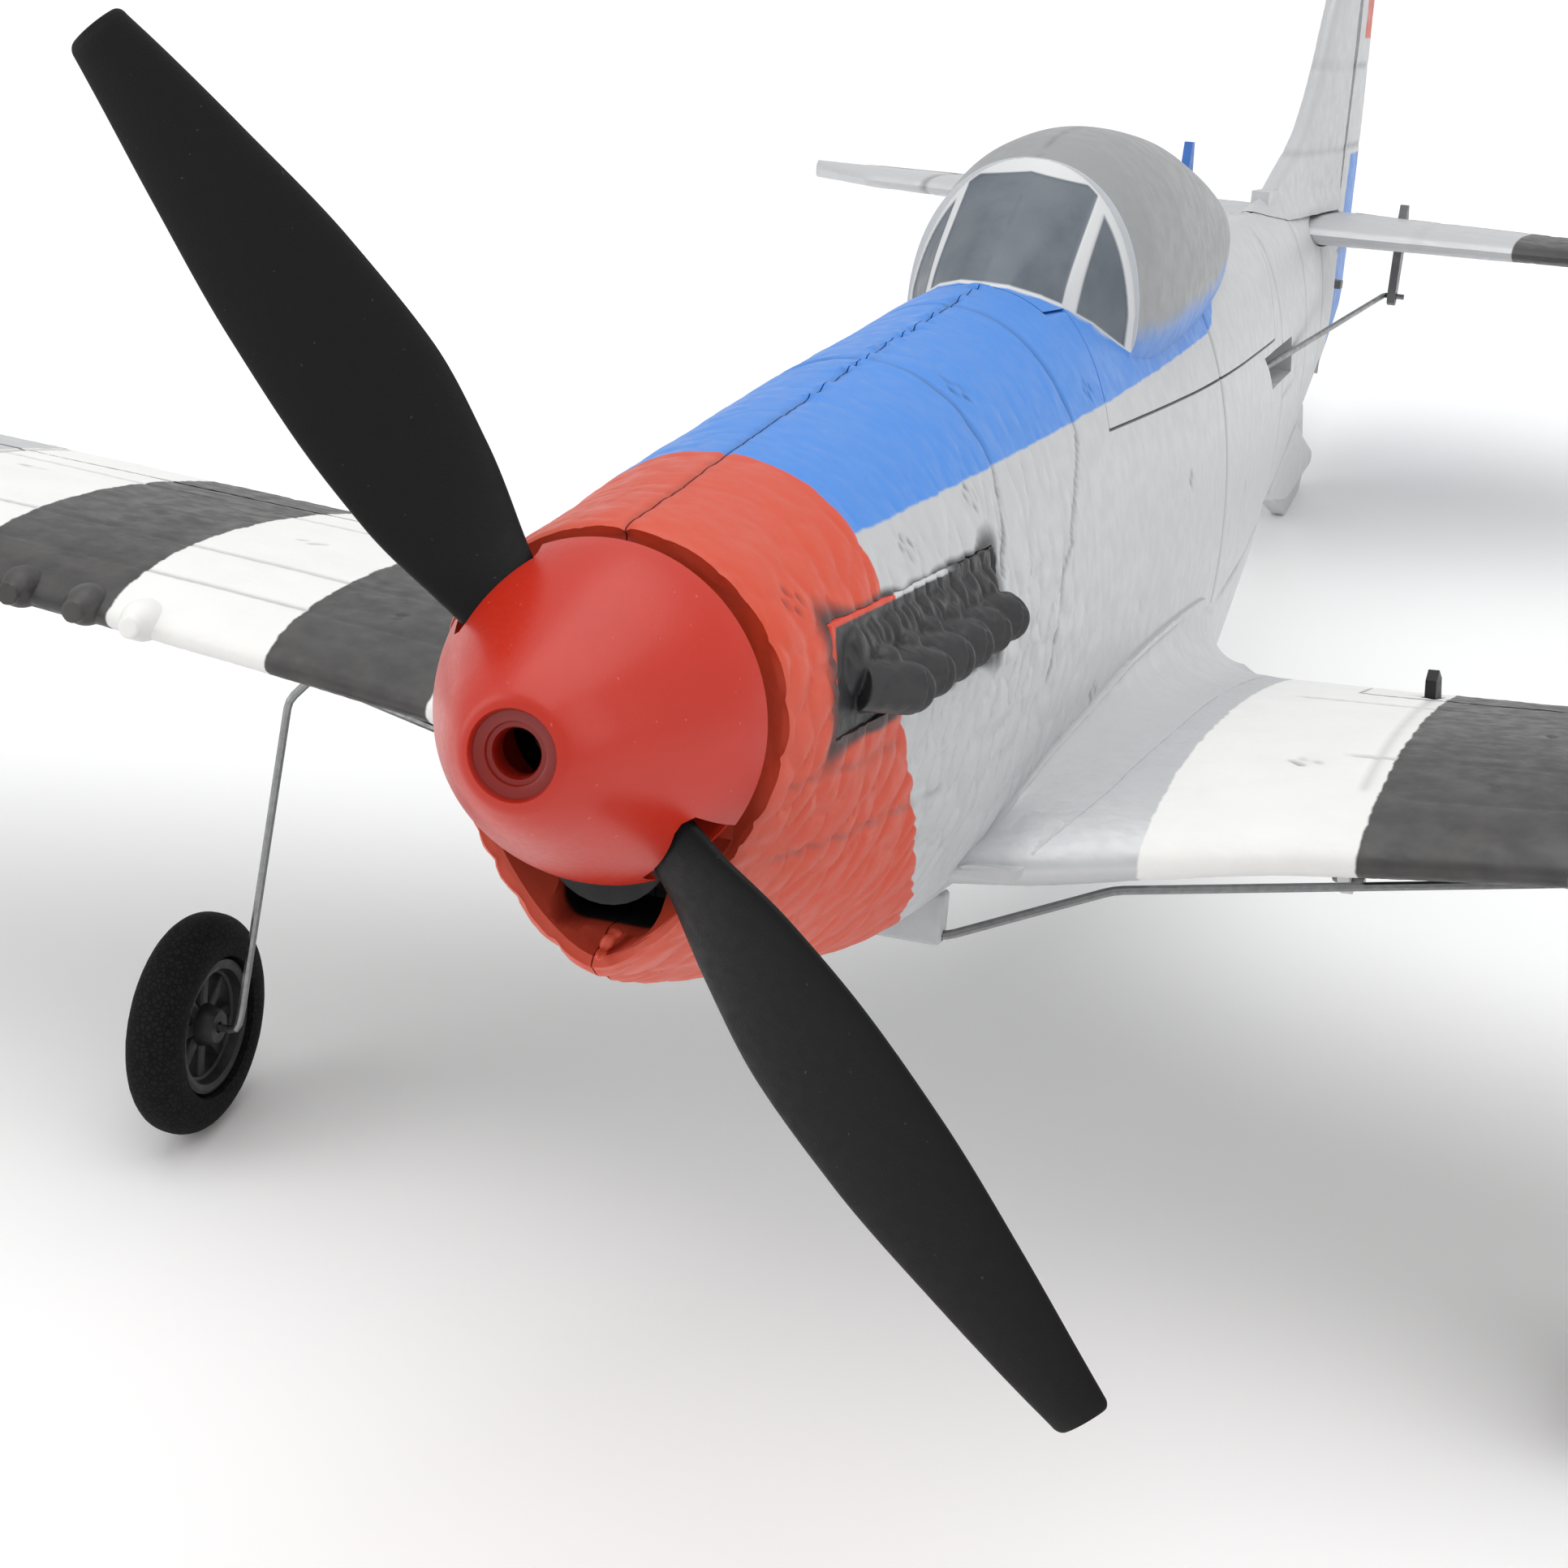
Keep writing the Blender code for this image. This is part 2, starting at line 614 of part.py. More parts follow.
def power_train():
    body = "propeller"
    spin = Matrix.Rotation(PROP_ANGLE, 4, "Y")
    profile = [(1.9, 16.1), (2.7, 15.2), (3.6, 16.1), (4.6, 15.6), (6.0, 13.6), (8.4, 9.6), (10.6, 5.4),
               (12.1, 1.8), (SPINNER_RADIUS, 0.0), (11.4, 0.0), (9.9, 4.2), (7.8, 8.2), (5.4, 12.4),
               (3.9, 14.3), (1.9, 14.3)]
    cone = turned("cone", profile, (0, 0, 0), (0, -1, 0), closed=True, steps=32)
    for sign, name in ((1, "blade_slot_a"), (-1, "blade_slot_b")):
        slot = block(name, (-4.3, -6.8, 5.0 if sign > 0 else -16.0), (4.3, 2.0, 16.0 if sign > 0 else -5.0))
        slot.matrix_basis = spin @ Matrix.Translation(slot.location)
        boolean(cone, guide(slot, name))
    part(cone, "spinner", "spinner_red", body)
    backplate = turned("disc", [(1.3, -0.4), (SPINNER_RADIUS - 0.5, -0.4), (SPINNER_RADIUS - 0.5, -1.5), (1.3, -1.5)],
                       (0, 0, 0), (0, -1, 0), closed=True, steps=40)
    part(backplate, "spinner_backplate", "spinner_red", body)

    propeller_blade = loft("blade_a", blade_rings(1))
    other_blade = guide(loft("blade_b", blade_rings(-1)), "blade_b")
    other_blade.matrix_basis = spin
    hub = rod("prop_hub", 4.2, (0, -5.8, 0), (0, -0.1, 0), 24)
    guide(hub, "prop_hub")
    bore = guide(rod("prop_bore", 1.25, (0, -8, 0), (0, 3, 0), 20), "prop_bore")
    propeller_blade.matrix_basis = spin
    boolean(propeller_blade, other_blade, "UNION")
    boolean(propeller_blade, hub, "UNION")
    boolean(propeller_blade, bore)
    part(propeller_blade, "propeller", "prop_black", body)
    part(rod("s", SHAFT_RADIUS, (0, -6.3, 0), (0, 16.5, 0), 20), "prop_shaft", "steel", body)
    part(rod("s", 1.6, (0, -8.3, 0), (0, -6.6, 0), 20), "prop_screw", "steel", body)

    spur = plate("spur", gear_outline(SPUR_TEETH, 8.35, 7.45), 2.5, facing_aft(0, 7.9, 0, math.pi / SPUR_TEETH),
                 [(0, 0, 1.2)])
    part(spur, "spur_gear", "gear_nylon", body, smooth=False)
    pinion = plate("pinion", gear_outline(PINION_TEETH, 2.32, 1.45), 3.0,
                   facing_aft(0, 7.9, -MOTOR_DROP, math.pi / 2), [])
    shaft = guide(rod("pinion_shaft", 0.5, (0, 5.9, -MOTOR_DROP), (0, 14.4, -MOTOR_DROP), 16), "pinion_shaft")
    boolean(pinion, shaft, "UNION")
    part(pinion, "motor_pinion", "brass", "motor_rotor", smooth=False)

    case = rod("case", 10.8, (0, 3.2, 0), (0, 24.4, 0), 40)
    case_tools = [
        ("case_lobe", 5.0, (0, 3.4, -MOTOR_DROP), (0, 24.2, -MOTOR_DROP), "UNION"),
        ("case_room", 9.6, (0, 5.2, 0), (0, 30, 0), "DIFFERENCE"),
        ("lobe_room", 4.4, (0, 5.2, -MOTOR_DROP), (0, 30, -MOTOR_DROP), "DIFFERENCE"),
        ("bush_hole", 2.35, (0, 0, 0), (0, 30, 0), "DIFFERENCE"),
    ]
    for name, radius, start, end, operation in case_tools:
        boolean(case, guide(rod(name, radius, start, end, 32), name), operation)
    part(case, "gearbox_housing", "black_plastic")
    inner = rod("inner", 9.3, (0, 12.4, 0), (0, 14.2, 0), 32)
    lobe = guide(rod("inner_lobe", 4.1, (0, 12.4, -MOTOR_DROP), (0, 14.2, -MOTOR_DROP), 24), "inner_lobe")
    boolean(inner, lobe, "UNION")
    boolean(inner, bpy.data.objects["bush_hole"])
    boolean(inner, guide(rod("shaft_hole", 1.4, (0, 8, -MOTOR_DROP), (0, 18, -MOTOR_DROP), 20), "shaft_hole"))
    part(inner, "gearbox_rear_plate", "black_plastic")
    bush = [(1.06, 1.1), (2.05, 1.1), (2.05, -1.1), (1.06, -1.1)]
    part(turned("b", bush, (0, 4.2, 0), (0, -1, 0), closed=True, steps=20), "front_bushing", "brass")
    part(turned("b", bush, (0, 13.3, 0), (0, -1, 0), closed=True, steps=20), "rear_bushing", "brass")
    part(rod("m", MOTOR_RADIUS, (0, 14.8, -MOTOR_DROP), (0, 34.0, -MOTOR_DROP), 28), "motor_can", "steel")

    wall = [ring(y, [(x, z) for x, z in hull_section(blended_station(26), WALL + 2 * GAP)[1]]) for y in (25.0, 26.5)]
    bulkhead = loft("firewall", wall)
    boolean(bulkhead, guide(rod("motor_hole", 4.6, (0, 20, -MOTOR_DROP), (0, 30, -MOTOR_DROP), 28), "motor_hole"))
    part(bulkhead, "firewall", "plywood")


def exhaust_block(name, side, inset, outer=None):
    """The slot for an exhaust row, or the strip that fills it up to its own outer face, set in by a gap."""
    rings = []
    for y, inner, face, low, high in ((10.8 + inset, 12.2, 13.9, -1.9, 6.6), (50.6 - inset, 13.9, 15.4, -1.0, 7.4)):
        near, far = (inner + inset) * side, (outer or face) * side
        rings.append([(near, y, low + inset), (far, y, low + inset), (far, y, high - inset), (near, y, high - inset)])
    return loft(name, rings)


def exhaust(side, name):
    """Six stubs on a strip, the stubs raked aft."""
    strip = exhaust_block(name + "_strip", side, GAP)
    for i in range(STUBS):
        y, z = STUB_END[1] + STUB_STEP * i, STUB_END[2] + 0.2 * i
        end = Vector((STUB_END[0] * side, y, z))
        stub = rod(f"{name}_stub_{i}", STUB_RADIUS, end - Vector((1.3 * side, 2.3, 0.1)), end, 12)
        boolean(strip, guide(stub, stub.name), "UNION")
    part(strip, name, "black_plastic")


def bay():
    cell = block("cell", (-8.5, 42, -12.2), (8.5, 88, -5.0))
    round_off(cell, 1.0)
    part(cell, "battery", "cell_foil")
    part(block("t", (-9.5, 40, -13.6), (9.5, 90, -12.5)), "battery_tray", "plywood")
    part(block("r", (-8, 100, -14.4), (8, 132, -12.9)), "receiver_board", "board_green")
    part(servo("elevator_servo", (-4.5, 142, 7.6), (6.8, 161.4, 18.0)), "elevator_servo", "black_plastic")
    part(servo("rudder_servo", (-5, 158, -6.0), (5, 176, 7.2)), "rudder_servo", "black_plastic")


def servo(name, low, high):
    body = block(name, low, high)
    round_off(body, 0.6)
    return body


def round_off(obj, width, segments=2):
    bevel = obj.modifiers.new("edges", "BEVEL")
    bevel.width = width * MM
    bevel.segments = segments


# Wing ---------------------------------------------------------------------------------------------------


def hinge_end(x):
    """A point of the aileron hinge, which lies in the wing's upper skin."""
    chord = at(list(zip(AILERON_SPAN, AILERON_CHORD)), x)
    front, back = at(LEADING_EDGE, x), at(TRAILING_EDGE, x)
    y = back - chord
    rise = x * math.tan(DIHEDRAL)
    u = (y - front) / (back - front)
    t = WING_THICKNESS * half_thickness(u)
    z = ROOT_LE_Z + rise + (ROOT_TE_Z - ROOT_LE_Z) * u + (4 * WING_CAMBER * u * (1 - u) + t) * (back - front)
    return Vector((x, y, z))


def wedge(name, inner, outer, front_top, front_low, trim):
    """A prism round the aileron: its front face leans aft going down, so the aileron clears the wing."""
    rings = []
    for point, x in ((inner, inner.x + trim), (outer, outer.x - trim)):
        rings.append([
            (x, point.y + front_top, point.z + 1.0), (x, point.y + 30, point.z + 1.0),
            (x, point.y + 30, point.z - 12.0), (x, point.y + front_low, point.z - 12.0),
        ])
    return loft(name, rings)


def wing_panel(side):
    tag = "left" if side > 0 else "right"
    inner, outer = hinge_end(AILERON_SPAN[0]), hinge_end(AILERON_SPAN[1])
    flip = Vector((side, 1, 1))
    axis = ((outer - inner) * flip).normalized() * side
    panel, flap = wing_skin("panel", side), wing_skin("flap", side)
    room = wedge("room_" + tag, inner, outer, -0.2, -0.2, 0.0)
    keep = wedge("keep_" + tag, inner, outer, 0.15, 5.6, 0.4)
    for tool in (room, keep):
        if side < 0:
            mirror_mesh(tool)
        guide(tool, tool.name)
    boolean(panel, room)
    boolean(flap, keep, "INTERSECT")
    body = "aileron_" + tag
    middle = inner.lerp(outer, 0.5) * flip
    pivot(body, middle, axis)

    # The control linkage lies in a plane square to the hinge, 6 mm outboard of the aileron's inner end.
    station = inner.lerp(outer, 7 / (outer - inner).length) * flip
    aft = Vector((0, 1, 0))
    aft = (aft - axis * aft.dot(axis)).normalized()
    up = axis.cross(aft)
    frame = Matrix((axis, aft, up)).transposed().to_4x4()
    frame = Matrix.Translation(station * MM) @ frame

    def spot(x, y, z):
        return (frame @ (Vector((x, y, z)) * MM)) / MM

    pin, servo_pin = Vector((0, 2.5, -11.0)), Vector((0, -25.5, -14.0))
    horn = [(1.7, -6), (1.2, -10.4), (1.6, -12.0), (2.5, -12.4), (3.4, -12.0), (3.8, -10.4), (5.2, -6), (5.4, -4.2),
            (5.0, 1.4), (3.9, 2.4), (2.9, 1.4), (2.4, -4.2)]
    across = frame @ Matrix.Rotation(math.pi / 2, 4, "Z") @ Matrix.Rotation(math.pi / 2, 4, "X")
    horn_slot = block("horn_slot_" + tag, (-0.9, 2.0, -9), (0.9, 5.9, 4))
    horn_slot.matrix_basis = frame @ Matrix.Translation(horn_slot.location)
    boolean(flap, guide(horn_slot, horn_slot.name))
    part(flap, body, "foam_silver", body)
    part(plate("horn", horn, 1.2, across, [(2.5, -11.0, HOLE_RADIUS)]), "aileron_horn_" + tag, "black_plastic", body)

    arm_body = "aileron_servo_arm_" + tag
    pivot(arm_body, spot(0, -28, -3), axis)
    arm = [(-28 + x, -3 + y) for x, y in
           ((-1.6, -1.2), (1.4, -11.9), (2.5, -12.4), (3.6, -11.9), (1.6, 0.4), (0.8, 1.3), (-0.8, 1.3), (-1.5, 0.6))]
    part(plate("arm", arm, 1.2, across, [(-25.5, -14.0, HOLE_RADIUS)]), arm_body, "plug_white", arm_body)
    rod_body = "aileron_pushrod_" + tag
    pivot(rod_body, spot(*servo_pin), axis)
    ends = [servo_pin + Vector((1.8, 0, 0)), servo_pin - Vector((1.3, 0, 0)), pin - Vector((1.3, 0, 0)),
            pin + Vector((1.8, 0, 0))]
    path = rounded(ends, 0.6)
    wire(rod_body, [spot(*p) for p in path], ROD_RADIUS, "steel", rod_body)

    pocket = block("servo_pocket_" + tag, (-1.3, -37.2, -12), (8.8, -18.8, -1.2))
    pocket.matrix_basis = frame @ Matrix.Translation(pocket.location)
    boolean(panel, guide(pocket, pocket.name))
    part(panel, "wing_" + tag, "foam_silver")
    case = block("case", (1.0, -36.9, -7.0), (8.5, -19.1, -1.5))
    case.matrix_basis = frame @ Matrix.Translation(case.location)
    part(case, "aileron_servo_" + tag, "black_plastic")


def mirror_mesh(obj):
    obj.data.transform(Matrix.Scale(-1, 4, (1, 0, 0)))
    obj.data.flip_normals()


# Tail ---------------------------------------------------------------------------------------------------


def fin_rings(front, back_y, bottom, top, half_low, half_high, levels=7):
    """Upright sections of the fin, its leading edge given by (height, y) pairs."""
    rings = []
    for i in range(levels):
        z = bottom + (top - bottom) * i / (levels - 1)
        lead = at(front, z)
        half = half_low + (half_high - half_low) * i / (levels - 1)
        shape = [(0, 0), (0.04, 0.4), (0.18, 0.75), (0.5, 1.0), (1, 0.95)]
        port = [(half * w, lead + (back_y - lead) * u, z) for u, w in shape]
        starboard = [(-half * w, lead + (back_y - lead) * u, z) for u, w in shape[:0:-1]]
        rings.append(port + starboard)
    return rings


def tail():
    part(stabilizer("stabilizer"), "stabilizer", "foam_silver")
    front = [(25.2, 222.5), (27.5, 236.0), (31, 246.8), (36.3, 260.5), (42.5, 268.2), (55.2, 276.9), (66, 284.2),
             (71, 290.0)]
    fin = loft("fin", fin_rings(front, HINGE_Y - 0.9, 25.0, 71.0, 2.1, 1.5, 9))
    deck = loft("tail_deck", [ring(*hull_section(s, -GAP)) for s in STATIONS if s[0] > 200])
    boolean(fin, guide(deck, "tail_deck"))
    foot = guide(block("fin_tab", (-1.2, 238, 17), (1.2, 256, 29)), "fin_tab")
    boolean(fin, foot, "UNION")
    part(fin, "fin", "foam_silver")

    pivot("rudder", (0, HINGE_Y, 30), (0, 0, 1))
    edge = [(-0.5, 297.0), (3.8, 310.0), (11.0, 318.5), (23.5, 318.3), (56, 314.6), (67, 310.0), (71, 304.0)]
    rings = []
    for z, back in [(z, at(edge, z)) for z in (-0.4, 3.8, 11, 23.5, 40, 56, 67, 71)]:
        half = 1.9 if z < 60 else 1.5
        near = HINGE_Y + 0.9
        rings.append([(half, near, z), (half * 0.9, near + (back - near) * 0.4, z), (0.45, back, z),
                      (-0.45, back, z), (-half * 0.9, near + (back - near) * 0.4, z), (-half, near, z)])
    rudder = loft("rudder", rings)
    notch = guide(block("joiner_notch", (-5, HINGE_Y - 2, 20.6), (5, HINGE_Y + 2.6, 24.4)), "joiner_notch")
    boolean(rudder, notch)
    horn_slot = block("rudder_horn_slot", (-5, HINGE_Y + 2.2, RUDDER_HORN_Z - 0.9),
                      (5, HINGE_Y + 6.2, RUDDER_HORN_Z + 0.9))
    boolean(rudder, guide(horn_slot, "rudder_horn_slot"))
    part(rudder, "rudder", "foam_silver", "rudder")
    lay = Matrix.Translation(Vector((0, HINGE_Y, RUDDER_HORN_Z)) * MM)
    horn = [(3.4, 3.0), (3.4, 5.2), (2.2, 5.9), (-2.2, 5.9), (-9.6, 3.6), (-11.4, 3.3), (-11.6, 1.6), (-9.6, 1.5),
            (-2.4, 2.5), (2.2, 2.5)]
    part(plate("h", horn, 1.2, lay, [(-10.3, 2.5, HOLE_RADIUS)]), "rudder_horn", "black_plastic", "rudder")

    pivot("elevator", (0, HINGE_Y, STAB_Z))
    for side, name in ((1, "elevator_left"), (-1, "elevator_right")):
        rings = []
        for x, near, back, half in ((4.6, 0.9, 6.0, 1.9), (9.0, 0.9, 15.0, 1.8), (40, 0.9, 14.4, 1.5),
                                    (70, 0.9, 12.6, 1.3), (78, 0.9, 7.0, 1.0)):
            y = HINGE_Y
            rings.append([(x * side, y + near, STAB_Z + half), (x * side, y + near + (back - near) * 0.45,
                          STAB_Z + half * 0.75), (x * side, y + back, STAB_Z + 0.4), (x * side, y + back, STAB_Z - 0.4),
                          (x * side, y + near + (back - near) * 0.45, STAB_Z - half * 0.75),
                          (x * side, y + near, STAB_Z - half)])
        half_elevator = loft(name, rings)
        groove = block(name + "_groove", (min(4 * side, 7 * side), HINGE_Y - 2, STAB_Z - 0.8),
                       (max(4 * side, 7 * side), HINGE_Y + 1.6, STAB_Z + 0.8))
        boolean(half_elevator, guide(groove, groove.name))
        if side > 0:
            slot = block("elevator_horn_slot", (10.6, HINGE_Y + 1.7, STAB_Z - 5), (12.4, HINGE_Y + 5.6, STAB_Z + 5))
            boolean(half_elevator, guide(slot, slot.name))
        part(half_elevator, name, "foam_silver", "elevator")
    joiner = rod("j", 0.45, (-6.7, HINGE_Y + 0.55, STAB_Z), (6.7, HINGE_Y + 0.55, STAB_Z), 12)
    part(joiner, "elevator_joiner", "steel", "elevator")
    upright = Matrix.Rotation(math.pi / 2, 4, "Z") @ Matrix.Rotation(math.pi / 2, 4, "X")
    place = Matrix.Translation(ELEVATOR_HORN * MM) @ upright
    horn = [(2.0, -3), (1.2, -9.4), (1.6, -11.0), (2.5, -11.4), (3.4, -11.0), (3.8, -9.4), (5.0, -3), (5.2, 1.6),
            (4.2, 3.7), (3.0, 3.7), (2.1, 1.6)]
    part(plate("h", horn, 1.2, place, [(2.5, -10, HOLE_RADIUS)]), "elevator_horn", "black_plastic", "elevator")

    # The servo arms copy the horns, so each pushrod moves parallel to itself.
    pivot("elevator_servo_arm", ELEVATOR_SERVO)
    arm = [(-1.6, 0.9), (-1.4, -1.6), (1.6, -10.6), (2.5, -11.2), (3.4, -10.6), (2.0, -1.2), (1.5, 0.9), (0, 1.4)]
    place = Matrix.Translation(ELEVATOR_SERVO * MM) @ upright
    part(plate("a", arm, 1.2, place, [(2.5, -10, HOLE_RADIUS)]), "elevator_servo_arm", "plug_white",
         "elevator_servo_arm")
    near, far = ELEVATOR_SERVO + HORN_REACH, ELEVATOR_HORN + HORN_REACH
    pivot("elevator_pushrod", near)
    out = Vector((1.2, 0, 0))
    path = rounded([near + 1.5 * out, near - out, far - out, far + 1.5 * out], 0.6)
    wire("elevator_pushrod", path, ROD_RADIUS, "steel", "elevator_pushrod")

    pivot("rudder_servo_arm", RUDDER_SERVO, (0, 0, 1))
    arm = [(1.6, -1.0), (1.9, 0.4), (0.8, 1.8), (-9.8, 3.5), (-11.2, 2.9), (-11.0, 1.6), (-1.2, -1.6), (0.4, -1.8)]
    lay = Matrix.Translation(RUDDER_SERVO * MM)
    part(plate("a", arm, 1.2, lay, [(-10.3, 2.5, HOLE_RADIUS)]), "rudder_servo_arm", "plug_white",
         "rudder_servo_arm")
    near = RUDDER_SERVO + RUDDER_REACH
    far = Vector((0, HINGE_Y, RUDDER_HORN_Z)) + RUDDER_REACH
    pivot("rudder_pushrod", near, (0, 0, 1))
    over = Vector((0, 0, 1.2))
    path = rounded([near - 1.5 * over, near + over, far + over, far - 1.5 * over], 0.6)
    wire("rudder_pushrod", path, ROD_RADIUS, "steel", "rudder_pushrod")

    # The skid's sole is level with the ground that the wheels stand on.
    back, front = 296.0, 286.0
    slope = math.tan(GROUND_PITCH)
    sole = [(y, SKID_CONTACT.z + (y - SKID_CONTACT.y) * slope) for y in (back, front)]
    outline = [(284, 1.0), (264, 1.0), (264, -9.2), (262, -12.5), (272, -17.5), sole[1], sole[0], (297.5, -16.5),
               (290, -4.5), (284, -4.0)]
    flat = Matrix.Rotation(math.pi / 2, 4, "Z") @ Matrix.Rotation(math.pi / 2, 4, "X")
    part(plate("skid", outline, 2.4, flat), "tail_skid", "grey_plastic")


# Undercarriage ------------------------------------------------------------------------------------------


def undercarriage():
    half = [BELLY_WIRE, Vector((24.0, 72.0, -26.2)), LEG_TOP + Vector((-2, 0, 0.4)), LEG_TOP + Vector((0.6, 0, -2.4)),
            Vector((WHEEL.x - 5.2, WHEEL.y, WHEEL.z + 2.0)), Vector((WHEEL.x - 4.8, WHEEL.y, WHEEL.z)),
            Vector((WHEEL.x + 4.6, WHEEL.y, WHEEL.z))]
    path = [Vector((-p.x, p.y, p.z)) for p in half[::-1]] + half
    wire("landing_gear_wire", rounded(path, 0.9, 2), AXLE_RADIUS, "steel")
    low, high = BELLY_WIRE - Vector((0, 1.6, 0.8)), BELLY_WIRE + Vector((-0.2, 1.6, 4.2))
    clip = block("clip", (-high.x, low.y, low.z), high)
    round_off(clip, 0.6)
    belly = [ring(*hull_section(s, -GAP)) for s in STATIONS if 50 < s[0] < 100]
    boolean(clip, guide(loft("belly", belly), "belly"))
    reach_out = Vector((BELLY_WIRE.x + 2, 0, 0))
    channel = rod("wire_channel", AXLE_RADIUS + 0.12, BELLY_WIRE * Vector((0, 1, 1)) - reach_out,
                  BELLY_WIRE * Vector((0, 1, 1)) + reach_out, 16)
    boolean(clip, guide(channel, "wire_channel"))
    part(clip, "belly_clip", "grey_plastic")
    for side, tag in ((1, "left"), (-1, "right")):
        centre = Vector((WHEEL.x * side, WHEEL.y, WHEEL.z))
        body = "wheel_" + tag
        pivot(body, centre)
        wide = TYRE_WIDTH / 2
        tread = []
        for i in range(11):
            a = math.radians(-110 + 220 * i / 10)
            tread.append((8.9 + (TYRE_RADIUS - 8.9) * math.cos(a), wide * math.sin(a)))
        tread = tread[::-1]
        part(turned("t", tread, centre, (1, 0, 0), closed=True, steps=36), "tyre_" + tag, "tyre_foam", body)
        rim = [(AXLE_BORE, 2.8), (1.9, 2.8), (1.9, 1.0), (6.2, 1.0), (6.6, 2.4), (7.3, 2.4), (7.3, -2.4),
               (6.6, -2.4), (6.2, -1.0), (1.9, -1.0), (1.9, -2.8), (AXLE_BORE, -2.8)]
        part(turned("h", rim, centre, (1, 0, 0), closed=True, steps=24), "hub_" + tag, "black_plastic", body)
        stop = [(0.8, 0.5), (1.7, 0.5), (1.7, -0.5), (0.8, -0.5)]
        place = centre + Vector((3.7 * side, 0, 0))
        part(turned("c", stop, place, (1, 0, 0), closed=True, steps=20), "axle_stop_" + tag, "black_plastic")


def stand_on_ground():
    """Slides the root so that the whole model's box sits on z = 0 and is centred on the origin."""
    bpy.context.view_layer.update()
    graph = bpy.context.evaluated_depsgraph_get()
    low, high = Vector((9, 9, 9)), Vector((-9, -9, -9))
    for obj in parts.objects:
        if obj.type == "EMPTY":
            continue
        shown = obj.evaluated_get(graph)
        mesh = shown.to_mesh()
        for vertex in mesh.vertices:
            place = shown.matrix_world @ vertex.co
            low = Vector(map(min, low, place))
            high = Vector(map(max, high, place))
        shown.to_mesh_clear()
    root.location = (-(low.x + high.x) / 2, -(low.y + high.y) / 2, -low.z)


pivot("hatch", (0, 147, HATCH_EDGE_Z))
pivot("propeller", (0, 0, 0), (0, 1, 0))
pivot("motor_rotor", (0, 0, -MOTOR_DROP), (0, 1, 0))
airframe()
power_train()
exhaust(1, "exhaust_left")
exhaust(-1, "exhaust_right")
bay()
wing_panel(1)
wing_panel(-1)
tail()
undercarriage()
stand_on_ground()
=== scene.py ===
"""The looks of the foam airplane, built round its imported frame.

Lengths are millimetres in the airframe's own axes: the origin is the centre of the spinner's base, X runs
towards the left wing, Y aft along the thrust line and Z up. PLACE turns them into metres in the frame.
"""

import json
import math

import bmesh
import bpy
import numpy as np
from mathutils import Matrix, Vector


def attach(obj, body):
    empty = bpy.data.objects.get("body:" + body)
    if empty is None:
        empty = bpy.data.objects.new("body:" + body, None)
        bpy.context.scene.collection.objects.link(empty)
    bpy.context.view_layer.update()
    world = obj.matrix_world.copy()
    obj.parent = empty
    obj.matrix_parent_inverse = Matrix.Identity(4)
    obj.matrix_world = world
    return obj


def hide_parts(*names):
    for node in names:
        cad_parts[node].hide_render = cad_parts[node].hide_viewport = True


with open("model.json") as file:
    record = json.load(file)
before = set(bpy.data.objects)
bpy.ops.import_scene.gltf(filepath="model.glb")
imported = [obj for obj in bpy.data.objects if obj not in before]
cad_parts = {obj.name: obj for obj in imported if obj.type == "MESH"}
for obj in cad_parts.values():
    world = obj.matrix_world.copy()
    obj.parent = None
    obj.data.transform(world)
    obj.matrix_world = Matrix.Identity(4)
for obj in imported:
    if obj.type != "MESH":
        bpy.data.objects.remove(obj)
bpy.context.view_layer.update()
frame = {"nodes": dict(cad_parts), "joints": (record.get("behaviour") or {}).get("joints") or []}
MM = 0.001
FINE = 1.0  # spacing of the surface grids, against the full one

thrust = next(joint for joint in frame["joints"] if joint["name"] == "propeller_spin")
AFT = Vector(thrust["axis"]).normalized()
ACROSS = Vector((1, 0, 0))
PLACE = Matrix((ACROSS, AFT, ACROSS.cross(AFT))).transposed().to_4x4()
PLACE.translation = Vector(thrust["pos_m"])
PLACE = PLACE @ Matrix.Scale(MM, 4)

# Wing
HALF_SPAN = 200.0
DIHEDRAL = math.radians(5.4)
LEADING_EDGE = [(0, 60.0), (16, 61.5), (27, 66.5), (40, 72.0), (185, 80.5), (196, 84.5), (HALF_SPAN, 90.0)]
TRAILING_EDGE = [(0, 151.0), (16, 149.0), (27, 144.5), (185, 118.5), (196, 114.5), (HALF_SPAN, 107.0)]
ROOT_LE_Z = -24.6
ROOT_TE_Z = -21.6
WING_THICKNESS = 0.115
WING_CAMBER = 0.018
AILERON_SPAN = (36.0, 166.0)
AILERON_CHORD = (13.0, 9.0)
GUNS = (78.5, 85.1, 92.7)  # how far out the gun blisters lie
STRIPES = (26.9, 45.3, 63.7, 82.0, 100.4, 118.8)

